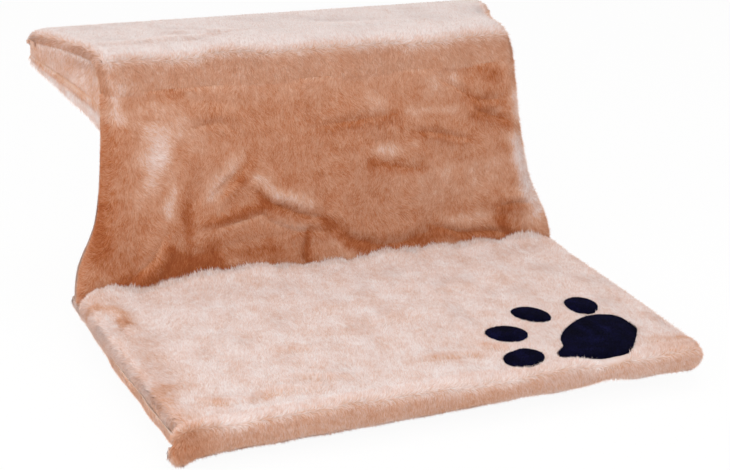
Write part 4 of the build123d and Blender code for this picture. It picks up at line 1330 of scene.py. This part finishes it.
    def under_grid(self, stations: Sequence[tuple[Array, Array, float, float]], flat: int,
                   outward: Sequence[float]) -> Cloth:
        """A lining shell below or behind the frame.

        Args:
            stations: Mid-plane point, outward normal, half width and depth of each section.
            flat: Points across its flat part.
            outward: Rough outward direction.

        Returns:
            The lining's grid, with its side walls' share kept as the pile.
        """
        sections = []
        for origin, normal, half, depth in stations:
            u, v, turned = self.form.section(half, depth, flat, self.lining_round)
            points = origin + np.outer(u, [1, 0, 0]) + np.outer(v, normal)
            along = np.full_like(u, float(np.linalg.norm(origin - stations[0][0])))
            sections.append((points, u, along, turned))
        cloth, rim = cloth_of_rows(sections, outward)
        cloth.pile = rim
        return cloth

    def seat_under_grid(self) -> Cloth:
        """Tray below the seat, closed behind the crease."""
        form = self.form
        down = np.array([0.0, 0.0, -1.0])
        stations = []
        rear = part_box("seat_under_panel")[1].y - form.crease_y
        turn_in = 0.004
        depth = form.cover_half - form.base_inset
        for y in np.linspace(0.0, form.seat_depth + rear - turn_in, 60):
            half = form.seat_half(float(np.clip(1 - y / form.seat_depth, 0, 1)))
            sag = 0.0006 * math.sin(math.pi * y / form.seat_depth)
            origin = np.array([0.0, form.front_y + y, form.seat_z])
            stations.append((origin, down, half, depth + sag))
        last = stations[-1]
        for k in (0.35, 0.7, 0.9, 1.0):
            sine, cosine = math.sin(k * math.pi / 2), math.cos(k * math.pi / 2)
            origin = last[0] + np.array([0.0, turn_in * sine, 0.0])
            stations.append((origin, down, last[2] - turn_in * (1 - cosine), depth * (0.02 + 0.98 * cosine)))
        cloth = self.under_grid(stations, 70, (0, 0, -1))
        slit = self.tray_bulge + self.tray_bulge_more * (1 - smoothstep(cloth.y, 0.130, 0.180))
        cloth.points[..., 0] -= self.left_bulge(cloth.x, cloth.y, slit, -0.022)
        tan = 1 - smoothstep(cloth.y, 0.150, 0.220)
        cloth.paint(0.16 + 0.18 * tan + 0.10 * cloth.pile, (), 0.05, 53)
        cloth.brush(Nap.BACK, 0.5, 55, (), Nap.DOWN, smoothstep(cloth.pile, 0.3, 0.9))
        cloth.light((0.0, -0.5, 0.5))
        return cloth

    def back_rear_grid(self) -> Cloth:
        """Taut lining behind the back, standing off further at the crease bar."""
        form = self.form
        table = ((0.0, 0.0), (0.3, 0.3), (0.6, 0.68), (0.75, 0.95), (0.86, 1.0), (1.0, 1.0))
        stations = []
        floor = form.seat_z - 0.0006
        for share in np.linspace(0.0, 1.0, 50):
            along = form.back_length * (1 - share)
            origin, normal = form.station(along)
            depth = form.cover_half + form.rear_swell * form.eased(table, share) - 0.0006
            stations.append((origin, -normal, form.back_half(1 - share), depth))
        cloth = self.under_grid(stations, 60, (0, 1, 0))
        cloth.points[..., 2] = np.maximum(cloth.points[..., 2], floor)
        cloth.points[..., 0] += self.crease_bulge(cloth.x, form.back_length - cloth.y)
        cloth.paint(0.34 + 0.14 * cloth.pile, (), 0.03, 57)
        cloth.brush(Nap.DOWN, 0.5, 59)
        return cloth

    def shelf_under_grid(self) -> Cloth:
        """Flat lining that lies on the radiator."""
        form = self.form
        low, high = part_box("shelf_under_panel")
        down = np.array([0.0, 0.0, -1.0])
        stations = []
        for y in np.linspace(low.y, high.y, 30):
            share = (y - form.shelf_start) / form.shelf_length
            stations.append((np.array([0.0, y, form.shelf_z]), down, form.shelf_half(share), form.cover_half))
        cloth = self.under_grid(stations, 60, (0, 0, -1))
        cloth.paint(0.24 + 0.14 * cloth.pile, (), 0.03, 61)
        cloth.brush(Nap.DOWN_RIGHT, 0.4, 63)
        return cloth

    def web_grid(self, side: int) -> Cloth:
        """Plush web under one end of the shelf, from the back to the rear corner."""
        form = self.form
        low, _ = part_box("left_side_web" if side < 0 else "right_side_web")
        down, across = 26, 46
        rear_drop, foot_lift, belly, hem, hem_groove, foot_tuck = 0.009, 0.003, 0.0015, 0.0016, 0.0012, 0.004
        ends = form.back_length + form.bend_length
        foot = (low.z - form.seat_z) / math.cos(form.lean)
        front = []
        for along in np.linspace(ends, foot, down):
            place, _ = form.station(float(along))
            half = form.back_half(min(1.0, float(along) / form.back_length)) + form.base_inset
            front.append((side * (half + self.web_clear), place[1], place[2]))
        top = []
        for share in np.linspace(0.0, 1.0, across):
            half = form.shelf_half(float(share)) + form.base_inset
            place = form.shelf_start + form.shelf_length * share
            top.append((side * (half + self.web_clear), place, form.shelf_z))
        top[0] = front[0]
        rear = np.linspace(top[-1], np.array(top[-1]) + (0.0, 0.0, -form.shelf_z - rear_drop), down)
        c, k = np.meshgrid(np.linspace(0, 1, across), np.linspace(0, 1, down))
        front, top = np.array(front), np.array(top)
        bottom = front[-1] + (rear[-1] - front[-1]) * np.linspace(0, 1, across)[:, None]
        bottom[:, 2] += foot_lift * np.sin(np.pi * np.linspace(0, 1, across))
        c3, k3 = c[..., None], k[..., None]
        points = (1 - k3) * top[None] + k3 * bottom[None] + (1 - c3) * front[:, None] + c3 * rear[:, None]
        points -= (1 - c3) * ((1 - k3) * top[0] + k3 * front[-1]) + c3 * ((1 - k3) * top[-1] + k3 * rear[-1])
        band = hem * np.exp(-((k - 0.74) / 0.05) ** 2) - hem_groove * np.exp(-((k - 0.66) / 0.04) ** 2)
        swell = belly * np.sin(np.pi * k) * np.sin(np.pi * c)
        points[..., 0] += side * (swell + band * np.sin(np.pi * np.clip(c, 0, 0.9)))
        points[..., 0] -= side * foot_tuck * k ** 3 * (1 - c) ** 2
        cloth = Cloth(points, np.array([float(side), -0.3, 0.0]), c * 0.115, k * 0.05)
        # The tint darkens along the hem's groove: painted shade in the crease; it is paler below the hem and
        # at the top.
        base = 0.38 - 0.20 * smoothstep(k, 0.68, 0.78) + 0.16 * np.exp(-((k - 0.67) / 0.05) ** 2)
        base = base - 0.14 * (1 - smoothstep(k, 0.0, 0.15))
        cloth.paint(base, (), 0.05, 65)
        cloth.brush(Nap.DOWN_RIGHT, 0.4, 67)
        cloth.rise = np.full_like(k, -0.08)
        cloth.light((0.0, -0.54, 0.30))
        return cloth

    def corner_grid(self) -> Cloth:
        """Lining across the inside of the top bend."""
        form = self.form
        low, low_normal = form.station(form.back_length)
        high, high_normal = form.station(form.back_length + form.bend_length)
        a = low - low_normal * form.cover_half
        b = high - high_normal * form.cover_half
        x = np.linspace(-form.top_width / 2 + 0.001, form.top_width / 2 - 0.001, 60)
        points = []
        for k in np.linspace(0.0, 1.0, 8):
            middle = a + (b - a) * k + np.array([0.0, -0.001, 0.001]) * math.sin(math.pi * k)
            points.append(middle + np.outer(x, [1, 0, 0]))
        cloth = Cloth(np.array(points), np.array([0.0, 1.0, -1.0]), *np.meshgrid(x, np.linspace(0, 0.03, 8)))
        cloth.pile = np.zeros_like(cloth.x)
        return cloth

    def build(self) -> None:
        """Builds every panel and its pile."""
        rear, keep = self.rear_grid()
        for name, node, cloth, rests, fibres, seed, kept in (
            ("seat_top", "seat_top_panel", self.seat_grid(), RAILS + ("front_crossbar", "crease_crossbar"),
             (185000, 165000), 11, None),
            ("back_front", "back_front_panel", self.back_grid(), RAILS, (150000, 130000), 13, None),
            ("shelf_top", "shelf_top_panel", self.shelf_grid(), RAILS + ("top_crossbar", "rear_crossbar"),
             (170000,), 15, None),
            ("front_roll", "front_band", self.front_grid(), ("front_crossbar",), (80000,), 16, None),
            ("rear_roll", "rear_band", rear, ("rear_crossbar",), (50000,), 17, keep),
        ):
            self.panel(name, node, cloth, fibres, seed, kept)
        self.linings()

    def linings(self) -> None:
        """Builds the linings, whose rims carry pile, and the plush side webs."""
        for name, node, cloth, fibres in (
            ("seat_under", "seat_under_panel", self.seat_under_grid(), 60000),
            ("back_rear", "back_rear_panel", self.back_rear_grid(), 30000),
            ("shelf_under", "shelf_under_panel", self.shelf_under_grid(), 9000),
        ):
            made = cloth.piece(name, self.lining, self.lining_wall)
            rim = smoothstep(cloth.pile, 0.02, 0.25)
            cloth.pile = np.ones_like(rim)
            hair = self.pile(name + "_rim_pile", cloth, PileGrowth(fibres, seed=18), rim)
            self.settle(made, node)
        corner = self.corner_grid()
        made = corner.piece("corner_lining_cloth", self.lining, self.lining_wall)
        self.settle(made, "corner_lining")
        for side, node, rail in ((-1, "left_side_web", "left_rail"), (1, "right_side_web", "right_rail")):
            cloth = self.web_grid(side)
            made = cloth.piece(node + "_cloth", self.plush, self.lining_wall)
            hair = self.pile(node + "_pile", cloth, PileGrowth(16000, length_mm=6.5, seed=19))
            self.settle(made, node)

    def panel(self, name: str, node: str, cloth: Cloth, fibres: Sequence[int],
              seed: int, keep: Optional[Array]) -> None:
        """Makes one plush panel with its pile and sets both on the frame.

        Args:
            name: Name of the piece.
            node: The solid that it stands for.
            cloth: Its grid.
            fibres: Fibres of the whole panel, or of its left and right halves.
            seed: Seed of the first pile; the next one follows it.
            keep: Which quads stay, where some are cut out.
        """
        made = cloth.piece(name, self.plush, self.plush_wall, keep)
        left = 1 - smoothstep(cloth.x, -0.0005, 0.0005)
        masks = (left, 1 - left) if len(fibres) == 2 else (None,)
        hairs = [self.pile(f"{name}_pile_{k + 1}", cloth, PileGrowth(count, seed=seed + k), mask)
                 for k, (count, mask) in enumerate(zip(fibres, masks))]
        self.settle(made, node)

    def settle(self, made: bpy.types.Object, node: str) -> None:
        stand_for(made, node)

    def pile(self, name: str, cloth: Cloth, growth: PileGrowth,
             mask: Optional[Array] = None) -> bpy.types.Object:
        """Grows one pile and sets it on the frame."""
        made = self.maker.grow(name, cloth, growth, self.plush, mask)
        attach(made, "root")
        return made


@dataclass
class PawPad:
    """One soft pad of the paw print: a closed outline round its centre, in metres."""

    name: str
    node: str
    centre: tuple[float, float]
    outline: Array

    def radius(self, angle: Array) -> Array:
        """Distance of the outline from the centre in a direction."""
        ways = np.arctan2(self.outline[:, 1], self.outline[:, 0])
        order = np.argsort(ways)
        reach = np.hypot(self.outline[:, 0], self.outline[:, 1])[order]
        return np.interp(angle, ways[order], reach, period=2 * math.pi)

    def cut_size(self) -> tuple[float, float]:
        """Width and length of the pad as it was cut, in metres."""
        size = self.outline.max(axis=0) - self.outline.min(axis=0)
        return round(float(size[0]), 3), round(float(size[1]), 3)

    def inside(self, x: Array, y: Array, share: float) -> Array:
        """1 where a point of the seat lies within a share of the outline, else 0."""
        dx, dy = x - self.centre[0], y - self.centre[1]
        return (np.hypot(dx, dy) < share * self.radius(np.arctan2(dy, dx))).astype(float)


def paw_print(form: BedForm) -> list[PawPad]:
    """The main pad and four toes near the seat's front right corner."""
    from_right, from_front = 0.0800, 0.031
    centre = (form.front_width / 2 - from_right, from_front)
    corners = np.array([(-52, -22), (-40, -11), (-33, 6), (-17, 23), (8, 39), (27, 39), (39, 29), (40, 8),
                        (31, -8), (17, -25), (8, -33), (-6, -35), (-22, -35), (-36, -31)]) * MM
    pads = [PawPad("paw_pad_main", "paw_main_pad", centre, smooth_loop(corners, 10))]
    toes = (("right", 19, 63), ("inner_right", -34, 57), ("inner_left", -73, 28), ("left", -80, -16))
    toe_long, toe_wide = 0.0175, 0.0138
    angles = np.linspace(0, 2 * math.pi, 49)[:-1]
    for which, a, b in toes:
        place = (a * MM, b * MM)
        turn = math.atan2(place[1], place[0])
        oval = np.stack([toe_long * np.cos(angles), toe_wide * np.sin(angles)], axis=1)
        turned = oval @ np.array([[math.cos(turn), math.sin(turn)], [-math.sin(turn), math.cos(turn)]])
        middle = (centre[0] + place[0], centre[1] + place[1])
        pads.append(PawPad("paw_pad_" + which, "paw_toe_" + which, middle, turned))
    return pads


def smooth_loop(corners: Array, steps: int) -> Array:
    """Closed smooth curve through a ring of points."""
    count = len(corners)
    made = []
    for k in range(count):
        a, b, c, d = (corners[(k + j - 1) % count] for j in range(4))
        for t in np.linspace(0, 1, steps, endpoint=False):
            made.append(0.5 * (2 * b + (c - a) * t + (2 * a - 5 * b + 4 * c - d) * t ** 2
                               + (3 * b - a - 3 * c + d) * t ** 3))
    return np.array(made)


@dataclass
class PawPrint:
    """Navy plush pads sewn on the seat."""

    cover: Cover
    dome: float = 0.0022
    pile_mm: float = 4.0
    wall: float = 0.0012
    fibres_per_area: float = 3.4e6

    def build(self) -> None:
        """Builds each pad with its pile."""
        for pad in self.cover.paws:
            cloth = self.pad_cloth(pad)
            made = cloth.piece(pad.name, self.cover.navy, self.wall)
            stand_for(made, pad.node)
            area = self.cover.maker.grown_area(cloth)
            count = int(area * self.fibres_per_area)
            growth = PileGrowth(count, length_mm=self.pile_mm, width_mm=0.9, seed=71)
            hair = self.cover.maker.grow(pad.name + "_pile", cloth, growth, self.cover.navy)
            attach(hair, "root")
            flat = pad.cut_size()
            min(cloth.area(), math.prod(flat))

    def pad_cloth(self, pad: PawPad) -> Cloth:
        """Domed cloth of one pad, from its centre to its sewn edge."""
        form = self.cover.form
        angles = np.linspace(-math.pi, math.pi, 73)
        reach = pad.radius(angles)
        rings = np.concatenate([np.linspace(0.0, 0.9, 12), [0.95, 0.985, 1.0, 1.0]])
        sections = []
        for k, ring in enumerate(rings):
            x = pad.centre[0] + ring * reach * np.cos(angles)
            y = pad.centre[1] + ring * reach * np.sin(angles)
            lift = 0.0010 + self.dome * (1 - ring ** 5) if k < len(rings) - 1 else -0.0012
            seat = self.cover.seat_height(x, y)
            z = form.seat_z + np.sqrt(np.maximum(seat ** 2 - np.minimum(y, 0) ** 2, 0)) + lift
            sections.append((np.stack([x, form.front_y + y, z], axis=1), x, y, x * 0))
        cloth, _ = cloth_of_rows(sections, (0.0, 0.0, 1.0))
        cloth.paint(np.full(cloth.x.shape, 0.45), (), 0.12, 73)
        cloth.brush(Nap.BACK, 1.0, 75)
        return cloth


@dataclass
class Wadding:
    """A pad of fibre fill inside the cover, swollen by a cloth simulation."""

    name: str
    node: str
    shrink: float = 0.0030
    cap: float = 0.0035
    voxel: float = 0.006
    frames: int = 14
    ceiling: Optional[float] = None
    fill: float = 0.35
    fabric_mass: float = 0.15
    pressure: float = 4.0
    tension: float = 20.0
    quality: int = 4

    def build(self, material: bpy.types.Material) -> None:
        """Builds the pad from its solid, swells it and sets it on the frame."""
        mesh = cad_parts[self.node].data.copy()
        mesh.materials.clear()
        made = link(self.name, mesh)
        weld(made)
        self.round_off(made)
        self.swell(made)
        mesh = made.data
        for vertex in mesh.vertices if self.ceiling is not None else ():
            vertex.co.z = min(vertex.co.z, self.ceiling)
        mesh.materials.append(material)
        smooth_faces(mesh)
        stand_for(made, self.node)

    def round_off(self, made: bpy.types.Object) -> None:
        """Remeshes the pad at the voxel size and draws it in a little."""
        remesh = made.modifiers.new("Even", "REMESH")
        remesh.mode = "VOXEL"
        remesh.voxel_size = self.voxel
        self.apply(made)
        normals = np.zeros(len(made.data.vertices) * 3)
        made.data.vertices.foreach_get("normal", normals)
        places = np.zeros_like(normals)
        made.data.vertices.foreach_get("co", places)
        made.data.vertices.foreach_set("co", (places - normals * self.shrink * 0.5).astype(np.float32))
        made.data.update()

    def apply(self, made: bpy.types.Object) -> None:
        """Replaces the mesh by its evaluated self and drops the modifiers."""
        graph = bpy.context.evaluated_depsgraph_get()
        mesh = bpy.data.meshes.new_from_object(made.evaluated_get(graph), depsgraph=graph)
        made.modifiers.clear()
        made.data = mesh

    def swell(self, made: bpy.types.Object) -> None:
        """Blows the pad up with cloth pressure and caps how far each point moved."""
        before = np.zeros(len(made.data.vertices) * 3)
        made.data.vertices.foreach_get("co", before)
        cloth = made.modifiers.new("Fill", "CLOTH")
        settings = cloth.settings
        settings.quality = self.quality
        settings.mass = self.fabric_mass
        settings.use_pressure = True
        settings.uniform_pressure_force = self.pressure
        settings.tension_stiffness = self.tension
        settings.effector_weights.gravity = 0.0
        cloth.collision_settings.use_collision = False
        scene = bpy.context.scene
        for step in range(1, self.frames + 1):
            scene.frame_set(step)
        self.apply(made)
        scene.frame_set(1)
        after = np.zeros_like(before)
        made.data.vertices.foreach_get("co", after)
        moved = (after - before).reshape(-1, 3)
        length = np.linalg.norm(moved, axis=1, keepdims=True)
        moved *= np.minimum(1.0, self.cap / np.maximum(length, 1e-9))
        made.data.vertices.foreach_set("co", (before.reshape(-1, 3) + moved).astype(np.float32).ravel())
        made.data.update()


@dataclass
class Hardware:
    """Frame, hooks and fastenings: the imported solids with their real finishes."""

    finishes: dict = field(default_factory=lambda: {
        "coated": COATED_STEEL, "hook": HOOK_STEEL, "zinc": ZINC, "plastic": PLASTIC,
    })
    nodes: dict = field(default_factory=lambda: {
        "coated": RAILS + ("front_crossbar", "crease_crossbar", "top_crossbar", "rear_crossbar"),
        "hook": ("left_hook", "right_hook"),
        "zinc": ("front_and_top_bolts", "rear_bolts", "cross_bolts", "cross_nuts", "thread_inserts"),
        "plastic": ("crossbar_caps", "end_saddles", "cross_saddles", "hook_sleeves"),
    })

    def build(self) -> None:
        """Gives each solid its finish."""
        for kind, names in self.nodes.items():
            material = self.finishes[kind].material()
            for name in names:
                self.dress(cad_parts[name], material)
                LOG.info("%s: %s", name, material.name)

    def dress(self, made: bpy.types.Object, material: bpy.types.Material) -> None:
        """Puts a finish in every slot of a solid."""
        if not made.material_slots:
            made.data.materials.append(material)
        for slot in made.material_slots:
            slot.link = "OBJECT"
            slot.material = material


@dataclass
class Tape:
    """One half of the hook-and-loop closure: a tape with its rows of loops or hooks."""

    name: str
    node: str
    facing: float
    rests: str
    pitch: float = 0.0030

    def build(self, material: bpy.types.Material) -> None:
        """Builds the tape with a low pattern of rows on its working side."""
        low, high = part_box(self.node)
        across = max(2, round((high.x - low.x) / self.pitch))
        deep = max(2, round((high.y - low.y) / self.pitch))
        columns = np.linspace(low.x, high.x, across * 2 + 1)
        x, y = np.meshgrid(columns, np.linspace(low.y, high.y, deep * 2 + 1))
        waves = np.sin(np.pi * (x - low.x) / self.pitch) * np.sin(np.pi * (y - low.y) / self.pitch)
        bumps = 0.00025 * waves ** 2
        level = (high.z - 0.0003 if self.facing > 0 else low.z + 0.0003) + self.facing * bumps
        cloth = Cloth(np.stack([x, y, level], axis=2), np.array([0.0, 0.0, self.facing]), x, y)
        made = cloth.piece(self.name, material, 0.0006)
        stand_for(made, self.node)


@dataclass
class Studio:
    """Pale floor, soft lights and the photograph's camera."""

    lens: float = 83.13
    place: tuple[float, float, float] = (-0.5610, -1.4568, 0.3797)
    forward: tuple[float, float, float] = (0.38055, 0.85932, -0.34168)
    up: tuple[float, float, float] = (0.11278, 0.32360, 0.93945)
    world_light: float = 0.55
    lit_place: tuple[float, float, float] = (0.0, -0.15, -0.08)
    floor_half: float = 6.0
    floor_glow: float = 0.94
    lamps: tuple = (
        ("key", (-0.8, -1.7, 1.0), 1.3, 17.5),
        ("fill", (1.2, -1.4, 0.8), 1.4, 8.0),
        ("top", (0.1, -0.1, 2.0), 1.6, 10.0),
        ("left", (-1.8, -0.4, 0.5), 1.2, 12.0),
    )

    def build(self) -> None:
        """Builds the camera, the lamps, the floor and the world."""
        scene = bpy.context.scene
        scene.view_settings.view_transform = "Standard"
        data = bpy.data.cameras.new("Camera")
        data.lens = self.lens
        data.sensor_width = 36.0
        data.sensor_fit = "HORIZONTAL"
        camera = link("Camera", data)
        forward, up = Vector(self.forward).normalized(), Vector(self.up)
        right = forward.cross(up).normalized()
        up = right.cross(forward)
        turn = Matrix((right, up, -forward)).transposed().to_4x4()
        camera.matrix_world = Matrix.Translation(self.place) @ turn
        scene.camera = camera
        for name, place, size, power in self.lamps:
            lamp = bpy.data.lights.new(name, "AREA")
            lamp.energy = power
            lamp.size = size
            made = link(name, lamp)
            made.location = place
            ward = Vector(self.lit_place) - Vector(place)
            made.rotation_euler = ward.to_track_quat("-Z", "Y").to_euler()
        self.floor()
        self.world()

    def floor(self) -> None:
        """A pale floor just below the bed."""
        level = min(CAD_BOX[0].z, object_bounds()[0].z) - 0.0005
        mesh = bpy.data.meshes.new("floor")
        size = self.floor_half
        corners = [(-size, -size, level), (size, -size, level), (size, size, level), (-size, size, level)]
        mesh.from_pydata(corners, [], [(0, 1, 2, 3)])
        made = link("floor", mesh)
        material, tree, shader = new_material("floor_white_paper")
        shader.inputs["Base Color"].default_value = linear("#F4F2F0")
        shader.inputs["Roughness"].default_value = 1.0
        glow = add_node(tree, "ShaderNodeEmission", values={"Color": (1, 1, 1, 1), "Strength": 1.0})
        part = add_node(tree, "ShaderNodeMath", {"operation": "MULTIPLY"}, {1: self.floor_glow},
                        {0: seen_directly(tree)})
        mix = add_node(tree, "ShaderNodeMixShader",
                       links={0: part.outputs[0], 1: shader.outputs[0], 2: glow.outputs[0]})
        tree.links.new(mix.outputs[0], tree.nodes["Material Output"].inputs["Surface"])
        mesh.materials.append(material)
        made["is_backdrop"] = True

    def world(self) -> None:
        """Even white surroundings: plain white to the camera, softer as light."""
        world = bpy.data.worlds.new("studio")
        bpy.context.scene.world = world
        world.use_nodes = True
        tree = world.node_tree
        back = tree.nodes["Background"]
        back.inputs["Color"].default_value = (1.0, 1.0, 1.0, 1.0)
        back.inputs["Strength"].default_value = self.world_light
        white = add_node(tree, "ShaderNodeBackground", values={"Color": (1, 1, 1, 1), "Strength": 1.0})
        mix = add_node(tree, "ShaderNodeMixShader",
                       links={0: seen_directly(tree), 1: back.outputs[0], 2: white.outputs[0]})
        tree.links.new(mix.outputs[0], tree.nodes["World Output"].inputs["Surface"])


def write_sizes() -> None:
    """Brings the scene's evaluated state up to date."""
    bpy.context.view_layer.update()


def main() -> None:
    """Builds the bed in order."""
    logging.basicConfig(level=logging.INFO, format="%(message)s")
    cover = Cover()
    cover.build()
    PawPrint(cover).build()
    fill = FIBRE_FILL.material()
    for name in ("seat_wadding", "back_wadding"):
        Wadding(name + "_pad", name).build(fill)
    Wadding("shelf_wadding_pad", "shelf_wadding", ceiling=FORM.shelf_z + SHELF_PAD_RISE).build(fill)
    Hardware().build()
    tape = TAPE.material()
    Tape("loop_tape", "closure_loop_tape", 1.0, "shelf_under").build(tape)
    Tape("hook_tape", "closure_hook_tape", -1.0, "rear_roll").build(tape)
    Studio().build()
    write_sizes()


if __name__ == "__main__":
    main()
